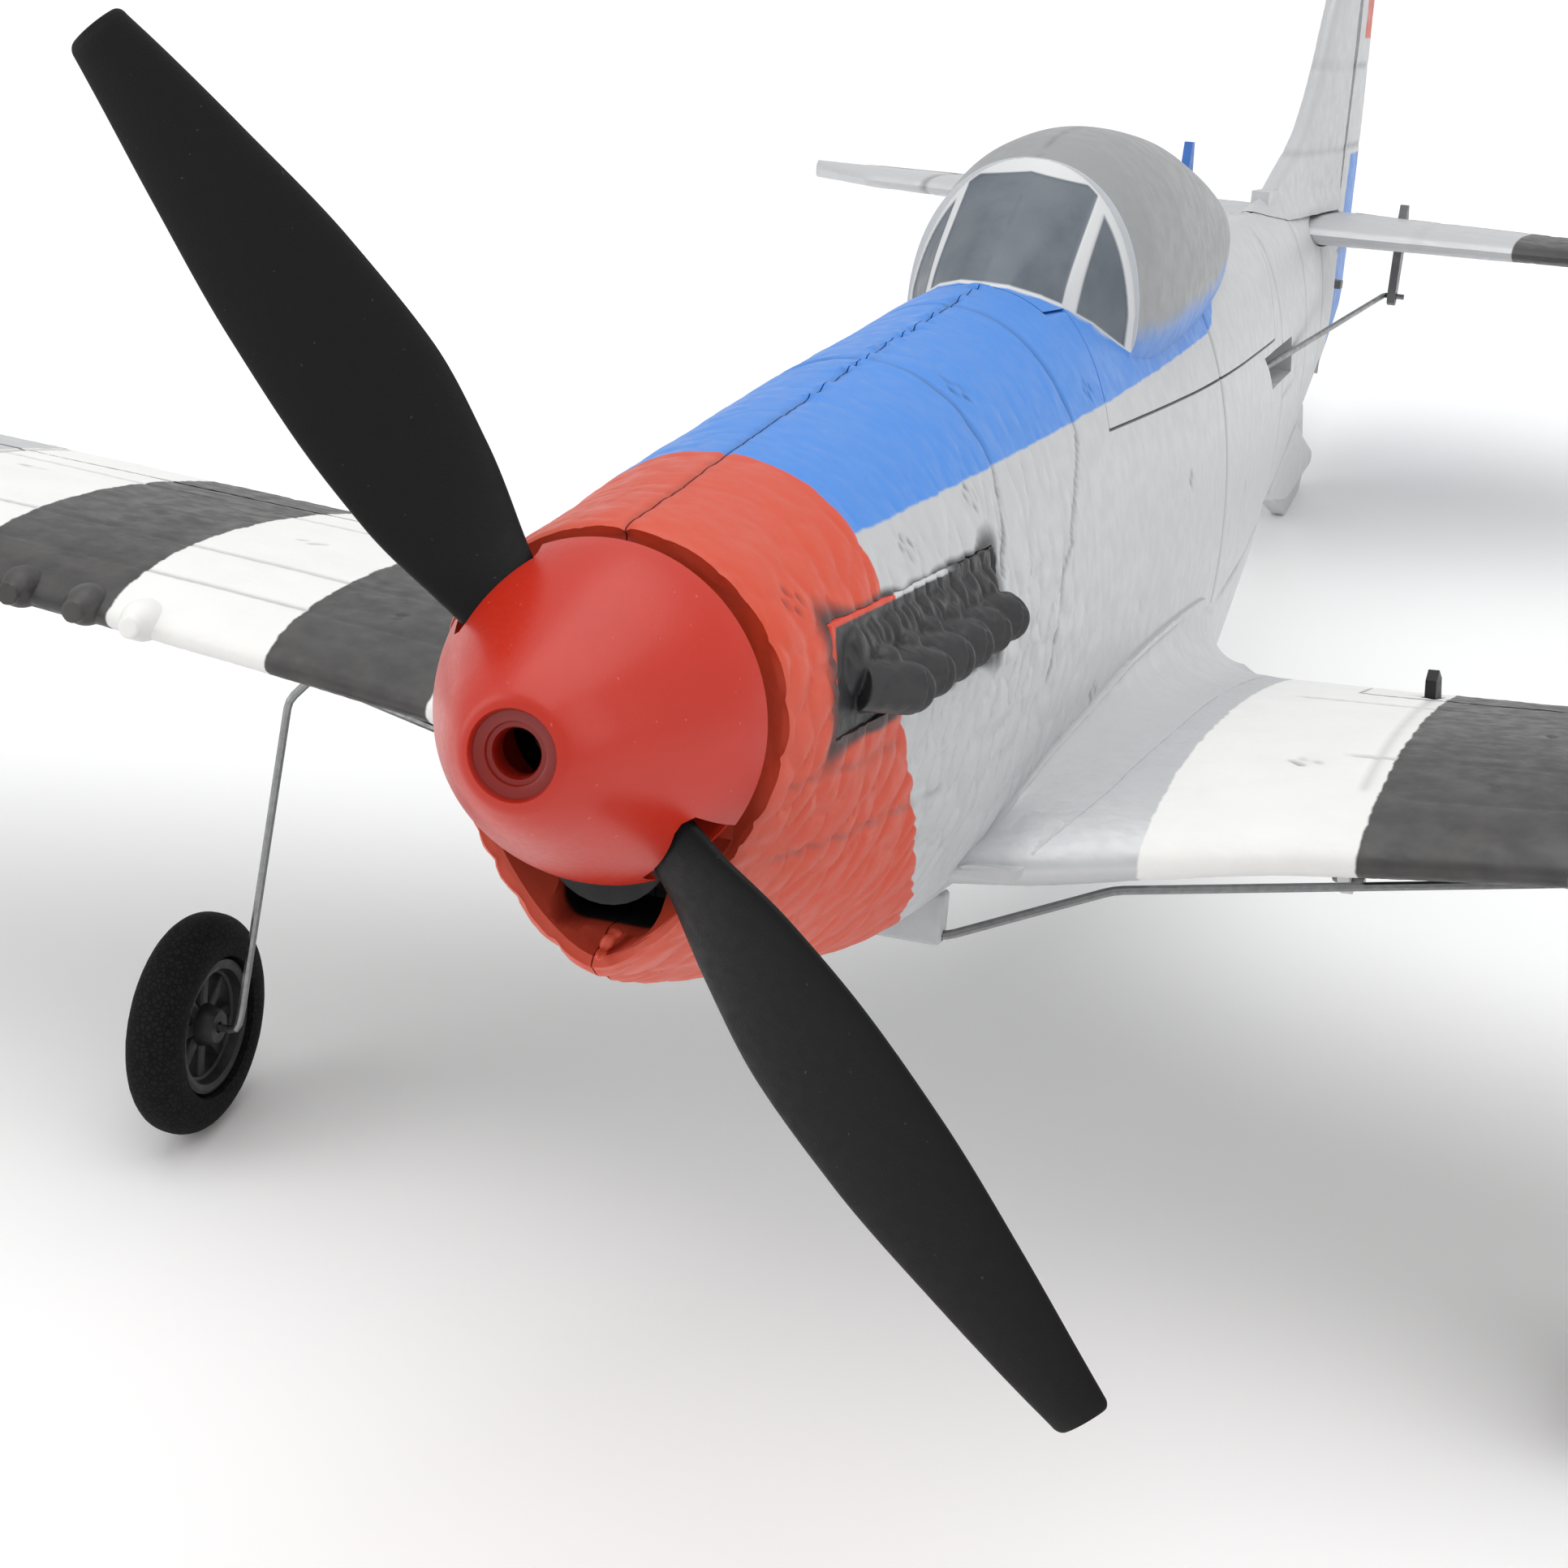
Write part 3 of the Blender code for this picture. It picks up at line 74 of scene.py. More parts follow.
# Fuselage stations: y, top, bottom, half width, height of the widest point, top and bottom fullness
STATIONS = [
    (1.8, 13.1, -19.4, 13.4, 0.0, 2.0, 1.52),
    (4.5, 13.7, -20.6, 13.9, -0.3, 2.0, 1.55),
    (8.0, 14.1, -21.9, 14.2, -0.5, 2.0, 1.6),
    (12.0, 14.6, -23.1, 14.5, -0.8, 2.0, 1.68),
    (24.0, 16.3, -25.8, 15.1, -1.5, 2.1, 1.9),
    (40.0, 18.4, -29.0, 15.7, -2.2, 2.1, 2.05),
    (56.0, 20.5, -30.9, 16.1, -3.0, 2.1, 2.2),
    (75.0, 22.6, -31.4, 16.5, -4.0, 2.1, 2.2),
    (96.0, 24.9, -31.8, 16.8, -5.0, 2.1, 2.2),
    (120.0, 26.0, -32.4, 16.7, -5.0, 2.1, 2.2),
    (133.0, 26.3, -32.8, 16.5, -5.0, 2.1, 2.1),
    (137.0, 26.4, -39.6, 16.4, -5.0, 2.1, 1.9),
    (155.0, 26.8, -43.0, 15.6, -5.0, 2.1, 1.9),
    (178.0, 27.0, -42.0, 13.8, -4.0, 2.1, 1.9),
    (198.0, 27.0, -36.0, 11.9, -2.0, 2.1, 1.9),
    (207.0, 26.9, -31.0, 11.0, -1.0, 2.1, 2.0),
    (211.0, 26.8, -25.4, 10.6, 0.0, 2.1, 2.1),
    (240.0, 26.3, -16.6, 8.0, 3.0, 2.1, 2.1),
    (262.0, 25.9, -9.6, 6.1, 6.0, 2.1, 2.1),
    (280.0, 25.4, -4.3, 4.5, 9.0, 2.1, 2.1),
    (293.4, 24.9, -0.6, 3.1, 11.0, 2.1, 2.1),
]
WALL = 2.8
CAVITY = (24.0, 200.0)
CAVITY_FLOOR = -27.0
SEAM_X = 0.06  # each half of the shell stops this far from the centre plane
HATCH_EDGE_Z = 12.3
HATCH_LEAN = 0.52  # how far its ends slope aft for each millimetre of height
HATCH = (94.4, 206.0)  # where its ends meet its lower edge
SCREEN_TAB = (93.9, 22.6)  # front end and underside of the lip below the windscreen
SLIT = 0.3  # the real gap round the hatch and the ailerons

# The windscreen's foot on the deck, from the middle round to the side: x, y, z
SCREEN_FOOT = [(0, 93.9, 24.6), (2.4, 94.5, 24.5), (5.1, 96.9, 23.7), (7.1, 100.6, 22.6),
               (8.8, 104.6, 21.2), (10.7, 109.9, 19.1), (11.6, 110.9, 18.2)]
TUCK = (1.0, 3.5)  # how far the bubble's sides turn back in, and over what height
HOOP_Y = 110.9  # of the windscreen's rear hoop
PILLAR_X = 7.1  # of the corner between the front pane and the side pane
CANOPY = [
    (111.0, 36.4, 12.0, 17.0),
    (119.0, 38.5, 12.9, 17.0),
    (130.0, 39.2, 13.0, 18.0),
    (145.0, 38.4, 12.2, 19.0),
    (160.0, 36.2, 10.7, 20.0),
    (175.0, 33.2, 8.4, 21.5),
    (188.0, 29.8, 5.2, 22.5),
    (195.0, 26.2, 2.4, 22.5),
]

# Nose
SPINNER_RADIUS = 12.6
PROP_RADIUS = 60.3
PROP_ANGLE = math.radians(-42.9)
PROP_PITCH = 55.0
PROP_Y = -2.6
MOTOR_DROP = 10.0
STUBS = 6
STUB_END = (17.3, 21.0, 0.9)
STUB_STEP = 5.6
# The chin's dish: its top, the height it shrinks towards, and its share of the rim's size at each depth
DISH_TOP = -7.5
DISH_Z = -12.0
DISH = ((-1.0, 0.9), (1.0, 0.885), (2.2, 0.86), (3.4, 0.81), (4.6, 0.73), (5.6, 0.62), (6.2, 0.5))

STRIP_MIDDLE = 30.7  # of the exhaust row, along the fuselage
EXHAUST_RECESS = [(10.8, 12.2, 20.0, 20.0, -1.9, 6.6), (50.6, 13.9, 20.0, 20.0, -1.0, 7.4)]
EXHAUST_STRIP = [(10.9, 12.3, 14.35, 13.2, -1.95, 6.56), (50.5, 14.0, 15.75, 15.0, -1.05, 7.36)]

# Tail
HINGE_Y = 294.3
FIN_FOOT = 25.0
SKIN_GAP = 0.12  # between the hull and the pieces that sit on it
TAIL_BAND = (31.3, 46.0)
STAB_HALF_SPAN = 80.5
STAB_Z = 22.5
RUDDER_HORN_Z = 13.2
FIN_FRONT = [(25.2, 222.5), (27.5, 236.0), (31, 246.8), (36.3, 260.5), (42.5, 268.2), (55.2, 276.9),
             (66, 284.2), (71, 290.0)]
RUDDER_BACK = [(-0.5, 297.0), (3.8, 310.0), (11.0, 318.5), (23.5, 318.3), (56, 314.6), (67, 310.0),
               (71, 304.0)]
SKID_SLOPE = 0.2656

WHEEL = Vector((76.0, 87.3, -61.9))
TYRE_RADIUS = 12.0
TYRE_WIDTH = 6.0
BELLY_WIRE = Vector((9.6, 68.4, -32.2))


# Curves and noise ------------------------------------------


def flowing(table, where, column=1):
    """A smooth curve without overshoot through one column of a table; its rows start with the position."""
    knots = np.array([row[0] for row in table], float)
    values = np.array([row[column] for row in table], float)
    steps = np.diff(knots)
    slopes = np.diff(values) / steps
    tangents = np.zeros(len(knots))
    tangents[0], tangents[-1] = slopes[0], slopes[-1]
    for i in range(1, len(knots) - 1):
        if slopes[i - 1] * slopes[i] > 0:
            a, b = 2 * steps[i] + steps[i - 1], steps[i] + 2 * steps[i - 1]
            tangents[i] = (a + b) / (a / slopes[i - 1] + b / slopes[i])
    i = np.clip(np.searchsorted(knots, where, side="right") - 1, 0, len(steps) - 1)
    t = np.clip((where - knots[i]) / steps[i], 0, 1)
    low, high = values[i], values[i + 1]
    bend = tangents[i] * t * (1 - t) ** 2 - tangents[i + 1] * t * t * (1 - t)
    return low + (high - low) * t * t * (3 - 2 * t) + bend * steps[i]


def ramp(value, low, high):
    """0 below low, 1 above high, smooth between."""
    t = np.clip((value - low) / (high - low), 0, 1)
    return t * t * (3 - 2 * t)


def bell(distance, width):
    return np.exp(-((distance / width) ** 2))


def scatter(i, j, salt):
    """A repeatable number from 0 to 1 for each pair of whole numbers."""
    value = np.sin(i * 127.1 + j * 311.7 + salt * 74.7) * 43758.5453
    return value - np.floor(value)


def rolling(u, v, salt):
    """Smooth noise from 0 to 1 on a plane."""
    i, j = np.floor(u), np.floor(v)
    s, t = ramp(u - i, 0, 1), ramp(v - j, 0, 1)
    near = scatter(i, j, salt) * (1 - s) + scatter(i + 1, j, salt) * s
    far = scatter(i, j + 1, salt) * (1 - s) + scatter(i + 1, j + 1, salt) * s
    return near * (1 - t) + far * t


def cells(u, v, salt):
    """How far points lie inside the cells of a scattered pattern: 0 on a border, about 1 in the middle."""
    i, j = np.floor(u), np.floor(v)
    nearest = np.full(np.shape(u), 9.0)
    second = np.full(np.shape(u), 9.0)
    for di in (-1, 0, 1):
        for dj in (-1, 0, 1):
            pu = i + di + 0.1 + 0.8 * scatter(i + di, j + dj, salt)
            pv = j + dj + 0.1 + 0.8 * scatter(i + di, j + dj, salt + 9)
            distance = np.hypot(u - pu, v - pv)
            second = np.minimum(second, np.maximum(nearest, distance))
            nearest = np.minimum(nearest, distance)
    return second - nearest


# Meshes ----------------------------------------------------

cutters = []


def link(name, mesh):
    obj = bpy.data.objects.new(name, mesh)
    bpy.context.scene.collection.objects.link(obj)
    return obj


def grid(name, rows):
    """A closed skin through rows of points, an array of rows x columns x 3."""
    rows = np.asarray(rows, float)
    count, width = rows.shape[:2]
    index = np.arange(count * width).reshape(count, width)
    beside = np.roll(index, -1, axis=1)
    quads = np.stack([index[:-1], beside[:-1], beside[1:], index[1:]], axis=-1).reshape(-1, 4)
    faces = quads.tolist() + [index[0, ::-1].tolist(), index[-1].tolist()]
    mesh = bpy.data.meshes.new(name)
    mesh.from_pydata(rows.reshape(-1, 3).tolist(), [], faces)
    bm = bmesh.new()
    bm.from_mesh(mesh)
    if bm.calc_volume(signed=True) < 0:
        mesh.flip_normals()
    bm.free()
    return link(name, mesh)


def from_bmesh(name, bm):
    bmesh.ops.recalc_face_normals(bm, faces=bm.faces)
    mesh = bpy.data.meshes.new(name)
    bm.to_mesh(mesh)
    bm.free()
    return link(name, mesh)


def box(name, low, high, frame_matrix=Matrix.Identity(4)):
    low, high = Vector(low), Vector(high)
    bm = bmesh.new()
    bmesh.ops.create_cube(bm, size=1)
    size = Matrix.Diagonal((*(high - low), 1))
    matrix = frame_matrix @ Matrix.Translation((low + high) / 2) @ size
    bmesh.ops.transform(bm, matrix=matrix, verts=bm.verts)
    return from_bmesh(name, bm)


def bar(name, radius, start, end, sides=48, end_radius=None):
    start, end = Vector(start), Vector(end)
    bm = bmesh.new()
    bmesh.ops.create_cone(bm, cap_ends=True, segments=sides, radius1=radius, radius2=end_radius or radius,
                          depth=(end - start).length)
    turn = (end - start).to_track_quat("Z", "Y").to_matrix().to_4x4()
    bmesh.ops.transform(bm, matrix=Matrix.Translation((start + end) / 2) @ turn, verts=bm.verts)
    return from_bmesh(name, bm)


def lump(name, centre, radii, matrix=Matrix.Identity(4), divisions=4):
    bm = bmesh.new()
    bmesh.ops.create_icosphere(bm, subdivisions=divisions, radius=1)
    bmesh.ops.transform(bm, matrix=Matrix.Translation(centre) @ matrix @ Matrix.Diagonal((*radii, 1)),
                        verts=bm.verts)
    return from_bmesh(name, bm)


def turned(name, profile, centre, axis, steps=96):
    """A closed profile of (radius, along) points turned about an axis."""
    turn = Vector(axis).to_track_quat("Z", "Y").to_matrix()
    angles = np.arange(steps) * 2 * math.pi / steps
    verts, faces, width = [], [], len(profile)
    for a in angles:
        for r, along in profile:
            spot = turn @ Vector((r * math.cos(a), r * math.sin(a), along)) + Vector(centre)
            verts.append(tuple(spot))
    for i in range(steps):
        for k in range(width):
            a, b = i * width, (i + 1) % steps * width
            faces.append((a + k, b + k, b + (k + 1) % width, a + (k + 1) % width))
    mesh = bpy.data.meshes.new(name)
    mesh.from_pydata(verts, [], faces)
    bm = bmesh.new()
    bm.from_mesh(mesh)
    return from_bmesh(name, bm)


def smooth_profile(points, spacing=0.35):
    """More points along a profile, on a smooth curve through the given ones."""
    points = np.array(points, float)
    length = np.concatenate([[0], np.cumsum(np.hypot(*np.diff(points, axis=0).T))])
    where = np.linspace(0, length[-1], max(2, int(length[-1] / spacing)))
    table = np.column_stack([length, points])
    return list(zip(flowing(table, where, 1), flowing(table, where, 2)))


def applied(obj):
    """Turns the modifiers of an object into its mesh."""
    graph = bpy.context.evaluated_depsgraph_get()
    graph.update()
    mesh = bpy.data.meshes.new_from_object(obj.evaluated_get(graph))
    obj.modifiers.clear()
    obj.data = mesh
    return obj


def carved(obj, tools, operation="DIFFERENCE"):
    for tool in tools:
        step = obj.modifiers.new(tool.name, "BOOLEAN")
        step.operation = operation
        step.object = tool
        step.solver = "MANIFOLD"
        if tool not in cutters:
            cutters.append(tool)
    return applied(obj)


def bevelled(obj, width, segments):
    step = obj.modifiers.new("edges", "BEVEL")
    step.width = width
    step.segments = segments
    return applied(obj)


def copy_of(obj, name):
    return link(name, obj.data.copy())


def remeshed(obj, voxel, smoothing=3):
    """One blended skin round overlapping shapes."""
    step = obj.modifiers.new("skin", "REMESH")
    step.mode = "VOXEL"
    step.voxel_size = voxel
    step.use_smooth_shade = True
    soft = obj.modifiers.new("soft", "SMOOTH")
    soft.factor = 0.5
    soft.iterations = smoothing
    return applied(obj)


def points_of(mesh):
    places = np.zeros(len(mesh.vertices) * 3)
    mesh.vertices.foreach_get("co", places)
    return places.reshape(-1, 3)


def normals_of(mesh):
    normals = np.zeros(len(mesh.vertices) * 3)
    mesh.vertices.foreach_get("normal", normals)
    return normals.reshape(-1, 3)


def raised(obj, height):
    """Moves each point along its normal by height(points)."""
    mesh = obj.data
    places = points_of(mesh)
    moved = places + normals_of(mesh) * height(places)[:, None]
    mesh.vertices.foreach_set("co", moved.ravel())
    mesh.update()
    return obj


def merged(name, objects):
    """Several objects as one mesh of separate shells."""
    bm = bmesh.new()
    for obj in objects:
        bm.from_mesh(obj.data)
        bpy.data.objects.remove(obj)
    return from_bmesh(name, bm)


def piece(obj, body, look, replaces=(), shade=None, sharp=50):
    """Makes a finished piece: notes each point's place for the paint, then moves it into the frame."""
    mesh = obj.data
    places = points_of(mesh)
    attribute = mesh.attributes.new("paint", "FLOAT_VECTOR", "POINT")
    attribute.data.foreach_set("vector", places.astype(np.float32).ravel())
    # The groove attribute holds painted shade for the grooves, pits and seam, which the materials darken by
    # it.
    depth = mesh.attributes.new("groove", "FLOAT", "POINT")
    values = shade(places) if shade else np.zeros(len(places))
    depth.data.foreach_set("value", values.astype(np.float32))
    mesh.transform(PLACE)
    mesh.shade_smooth()
    mesh.set_sharp_from_angle(angle=math.radians(sharp))
    mesh.materials.clear()
    mesh.materials.append(look)
    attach(obj, body)
    if replaces:
        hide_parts(*replaces)
    return obj


# Fuselage --------------------------------------------------


def hull_sections(ys, count, shrink=0.0):
    """Rings round the fuselage, their points evenly spaced from the keel over the crown and back."""
    rows = []
    turn = np.linspace(0, math.pi, 361)
    for y in ys:
        top, bottom, half, middle, full_top, full_bottom = (flowing(STATIONS, y, k) for k in range(1, 7))
        full = np.where(turn <= math.pi / 2, full_top, full_bottom)
        height = np.where(turn <= math.pi / 2, top - middle, middle - bottom) - shrink
        x = (half - shrink) * np.abs(np.sin(turn)) ** (2 / full)
        z = middle + np.sign(np.cos(turn)) * height * np.abs(np.cos(turn)) ** (2 / full)
        length = np.concatenate([[0], np.cumsum(np.hypot(np.diff(x), np.diff(z)))])
        where = np.linspace(0, length[-1], count // 2 + 1)
        ys = np.full(len(where), y)
        side = np.column_stack([np.interp(where, length, x), ys, np.interp(where, length, z)])
        other = side[-2:0:-1] * (-1, 1, 1)
        rows.append(np.concatenate([side, other]))
    return np.array(rows)


# Heights and distances aft of the groups of ejector pits
MARKS = [(8.4, 6.6), (11.3, 47.9), (-5.7, 104.9), (16.5, 90.7), (9.5, 30.0), (-12.0, 88.0), (4.0, 128.0),
         (-2.0, 170.0), (8.0, 200.0), (6.0, 232.0), (18.5, 60.0)]


def panel_lines(x, y, z):
    """Depth of the moulded grooves of the fuselage, positive where they cut in."""
    low = np.maximum(13.2 - z, 0)
    first = y - (57.5 - 0.6 * low)
    cut = 0.34 * bell(first, 0.3) * ramp(z, 4.0, 5.0)
    second = y - (83.5 - 1.03 * np.minimum(low, 11) - 0.37 * np.maximum(low - 11, 0))
    cut = np.maximum(cut, 0.3 * bell(second, 0.3) * ramp(z, -7.6, -7.0))
    side = ramp(np.abs(x), 8, 10)
    for deep, down, start, end in ((0.16, 4.2, 3, 27), (0.18, 10.5, 6, 42)):
        line = bell(z + down + 0.03 * y, 0.25)
        cut = np.maximum(cut, deep * line * ramp(y, start, start + 2) * ramp(-y, -end, 2 - end) * side)
    for start, end, height in ((150, 206, -14.0), (214, 286, 4.0)):
        line = bell(z - height - 0.05 * (y - start), 0.28)
        cut = np.maximum(cut, 0.22 * line * ramp(y, start, start + 2) * ramp(-y, -end, 2 - end) * side)
    for across in (152.0, 214.5, 246.0, 270.0):
        cut = np.maximum(cut, 0.25 * bell(y - across, 0.28) * ramp(-z, -26, -24))
    return cut


def mark_pits(y, z):
    """Small groups of ejector pits."""
    cut = np.zeros(np.shape(y))
    for mark_z, mark_y in MARKS:
        for dy, dz in ((0, 0), (0.9, 0.7), (1.0, -0.6), (2.0, 0.1)):
            cut = np.maximum(cut, 0.3 * bell(np.hypot(y - mark_y - dy, z - mark_z - dz), 0.24))
    return cut


def seam(x, y, z):
    """The glued joint along the back: a thin groove, broken up by specks of squeezed-out glue."""
    line = 0.3 * bell(x, 0.2) * (0.45 + 0.55 * rolling(y / 1.7, x * 0, 4))
    ragged = ramp(rolling(y / 1.3, x / 0.7, 5) * ramp(y, 26, 50), 0.52, 0.7) * bell(x, 0.75)
    return (line - 0.42 * ragged) * ramp(z, 2, 6)


def hull_relief(places):
    """How far the foam skin stands out from the plain hull."""
    x, y, z = places.T
    around = np.arctan2(x, z + 3) * 16
    side = 0.35 + 0.65 * ramp(np.abs(around), 6, 20)
    nose = 1 - ramp(y, 60, 102)
    sway = 2.6 * rolling(y / 5, around / 5, 1) - 1.3
    pillow = cells((y + sway) / 3.6, (around + 0.3 * y + sway) / 4.2, 2)
    crease = 1 - ramp(pillow, 0.0, 0.2)
    fine = 1 - ramp(cells((y + 0.3 * around) / 1.5, around / 1.9, 3), 0.0, 0.4)
    swell = rolling(y / 3.0, around / 3.6, 6) - 0.5
    skin = (0.4 * np.minimum(pillow, 0.6) - 0.12 * crease) * nose * side
    skin += 0.1 * swell * nose * side - 0.03 * fine * (0.4 + 0.6 * nose)
    skin += 0.05 * (rolling(y / 9, around / 9, 7) - 0.5)
    skin -= panel_lines(x, y, z) + mark_pits(y, z) + seam(x, y, z)
    flank = ramp(np.abs(x), 9, 11)
    for height, start, end in ((4.6, 53, 76), (-2.6, 33, 71), (-7.4, 30, 69)):
        skin += 0.22 * bell(z - height, 0.3) * ramp(y, start, start + 1) * ramp(-y, -end, 1 - end) * flank
    lip = 1 - np.sqrt(1 - (1 - np.clip((y - 1.8) / 0.9, 0, 1)) ** 2)
    return skin - 0.9 * lip


def hull_shade(places):
    x, y, z = places.T
    marks = panel_lines(x, y, z) / 0.3 + mark_pits(y, z) / 0.2 + np.maximum(seam(x, y, z), 0) * 2
    return np.clip(marks, 0, 1)


def half_thickness(u, full):
    """Half the thickness of an aerofoil at a fraction of its chord, as a fraction of the chord."""
    return 5 * full * (0.2969 * np.sqrt(u) - 0.126 * u - 0.3516 * u**2 + 0.2843 * u**3 - 0.095 * u**4)


def chord_line(x, u):
    """Height of the wing's chord line at a distance out and a fraction of the chord."""
    return ROOT_LE_Z + x * math.tan(DIHEDRAL) + (ROOT_TE_Z - ROOT_LE_Z) * u


def camber(u):
    return 4 * WING_CAMBER * u * (1 - u)


def wing_height(x, y):
    """Height of the wing's upper skin at a point of its plan."""
    front = flowing(LEADING_EDGE, x)
    chord = flowing(TRAILING_EDGE, x) - front
    u = np.clip((y - front) / chord, 0, 1)
    return chord_line(x, u) + (camber(u) + half_thickness(u, WING_THICKNESS)) * chord


def hatch_prism(name, inset):
    """The space of the hatch, right across the fuselage: its ends slope aft and its front has a lip."""
    shift = inset * math.hypot(1, HATCH_LEAN)
    edge, tab_y, tab_z = HATCH_EDGE_Z + inset, SCREEN_TAB[0] + inset, SCREEN_TAB[1] + inset
    front, back = (end - HATCH_LEAN * HATCH_EDGE_Z for end in (HATCH[0] + shift, HATCH[1] - shift))
    outline = [(front + HATCH_LEAN * edge, edge), (front + HATCH_LEAN * tab_z, tab_z), (tab_y, tab_z),
               (tab_y, 60), (back + HATCH_LEAN * 60, 60), (back + HATCH_LEAN * edge, edge)]
    return grid(name, [[(x, y, z) for y, z in outline] for x in (-30, 30)])


def chin_dish():
    """The dished mouth under the spinner."""
    rim = hull_sections([3.0], 240)[0]
    rim = rim[rim[:, 2] < DISH_TOP]
    rim = rim[np.argsort(np.arctan2(rim[:, 0], -(rim[:, 2] - DISH_TOP)))]
    rows = []
    for y, share in DISH:
        row = rim.copy()
        row[:, 0] = rim[:, 0] * share
        row[:, 2] = DISH_Z + (rim[:, 2] - DISH_Z) * share
        row[:, 1] = y
        rows.append(row)
    return grid("chin_dish", rows)


def rounded_slot(name, half, low, high, start, end, radius):
    """A straight duct with a rounded rectangle for its section."""
    ring = []
    for cx, cz, first in ((half, high, 0), (-half, high, 90), (-half, low, 180), (half, low, 270)):
        for step in range(7):
            a = math.radians(first + 15 * step)
            ring.append((cx - math.copysign(radius, cx) + radius * math.cos(a),
                         cz + (-radius if cz == high else radius) + radius * math.sin(a)))
    return grid(name, [[(x, y, z) for x, z in ring] for y in (start, end)])


def exhaust_wedge(name, side, ends):
    """A block along the exhaust row. Each end: y, inner x, outer x below and above, lower and upper z."""
    rings = []
    for y, inner, low_x, high_x, low, high in ends:
        section = [(inner, low), (low_x, low), (high_x, high), (inner, high)]
        rings.append([(x * side, y, z) for x, z in section])
    return grid(name, rings)


def wing_sections(xs, count, grow=0.0):
    """Closed wing sections, from the trailing edge over the top and back underneath."""
    u = (1 - np.cos(np.linspace(0, math.pi, count // 2 + 1))) / 2
    rows = []
    for x in xs:
        front = flowing(LEADING_EDGE, x) - grow
        chord = flowing(TRAILING_EDGE, x) + grow - front
        tip = max(1 - (max(x - 184.0, 0) / 16.4) ** 2.4, 0.02)
        thin = (WING_THICKNESS + 2 * grow / chord) * math.sqrt(tip)
        t = half_thickness(u, thin)
        bow = camber(u)
        base = chord_line(x, u)
        top = np.column_stack([np.full(len(u), x), front + chord * u, base + (bow + t) * chord])
        bottom = np.column_stack([np.full(len(u), x), front + chord * u, base + (bow - t) * chord])
        rows.append(np.concatenate([top[::-1], bottom[1:]]))
    return np.array(rows)


def stab_sections(xs, count, grow=0.0):
    """Sections of the tailplane from its leading edge to the hinge line."""
    shape = [(0, 0), (0.05, 0.45), (0.2, 0.8), (0.5, 1.0), (1.0, 0.92)]
    u = np.linspace(0, 1, count // 2) ** 1.6
    h = flowing(shape, u)
    rows = []
    for x in xs:
        front = 261.0 + 0.24 * abs(x) + max(abs(x) - 68, 0) * 0.9 - grow
        back = HINGE_Y - 0.9 + grow
        half = 2.1 - 0.8 * abs(x) / STAB_HALF_SPAN + grow
        upper = np.column_stack([np.full(len(u), x), front + (back - front) * u, STAB_Z + half * h])
        lower = np.column_stack([np.full(len(u), x), front + (back - front) * u, STAB_Z - half * h])
        rows.append(np.concatenate([upper, lower[:0:-1]]))
    return np.array(rows)


def spaced(start, end, step):
    """Evenly spaced values from start to end, about a step apart."""
    return np.linspace(start, end, max(2, int(round((end - start) / step)) + 1))


def bubble():
    """The canopy's bubble, its sides turned back in at the foot."""
    rows = []
    turn = np.linspace(0, math.pi / 2, 44)
    under = np.linspace(0.1, 1, 8)
    for y in spaced(111.0, 195.0, 0.8 * FINE):
        top, half, base = (flowing(CANOPY, y, k) for k in (1, 2, 3))
        middle = min(base + TUCK[1], top - 0.2)
        x = np.append(half * np.sin(turn) ** 0.95, half - TUCK[0] * under**2)
        z = np.append(middle + (top - middle) * np.cos(turn) ** 0.9, middle - (middle - base) * under)
        side = np.column_stack([x, np.full(len(x), y), z])
        side = np.concatenate([side, [[0, y, base]]])
        rows.append(np.concatenate([side, side[-2:0:-1] * (-1, 1, 1)]))
    return grid("canopy_bubble", rows)


def windscreen():
    """Panes stretched from the foot on the deck to the bubble's front hoop."""
    top, half, base = (flowing(CANOPY, HOOP_Y, k) for k in (1, 2, 3))
    turn = np.linspace(0, 1.35, 30)
    arch = zip(half * np.sin(turn) ** 0.95, base + (top - base) * np.cos(turn) ** 0.9)
    points = SCREEN_FOOT + [(x, y, 15.0) for x, y, z in SCREEN_FOOT]
    for x, z in arch:
        points += [(x, HOOP_Y, z), (min(x, 11.0), HOOP_Y + 3, z - 1.5)]
    bm = bmesh.new()
    for x, y, z in points:
        for side in (1, -1):
            bm.verts.new((x * side, y, z))
    bmesh.ops.convex_hull(bm, input=bm.verts)
    bmesh.ops.delete(bm, geom=[v for v in bm.verts if not v.link_faces], context="VERTS")
    return remeshed(from_bmesh("windscreen_body", bm), 0.22 * FINE, 1)


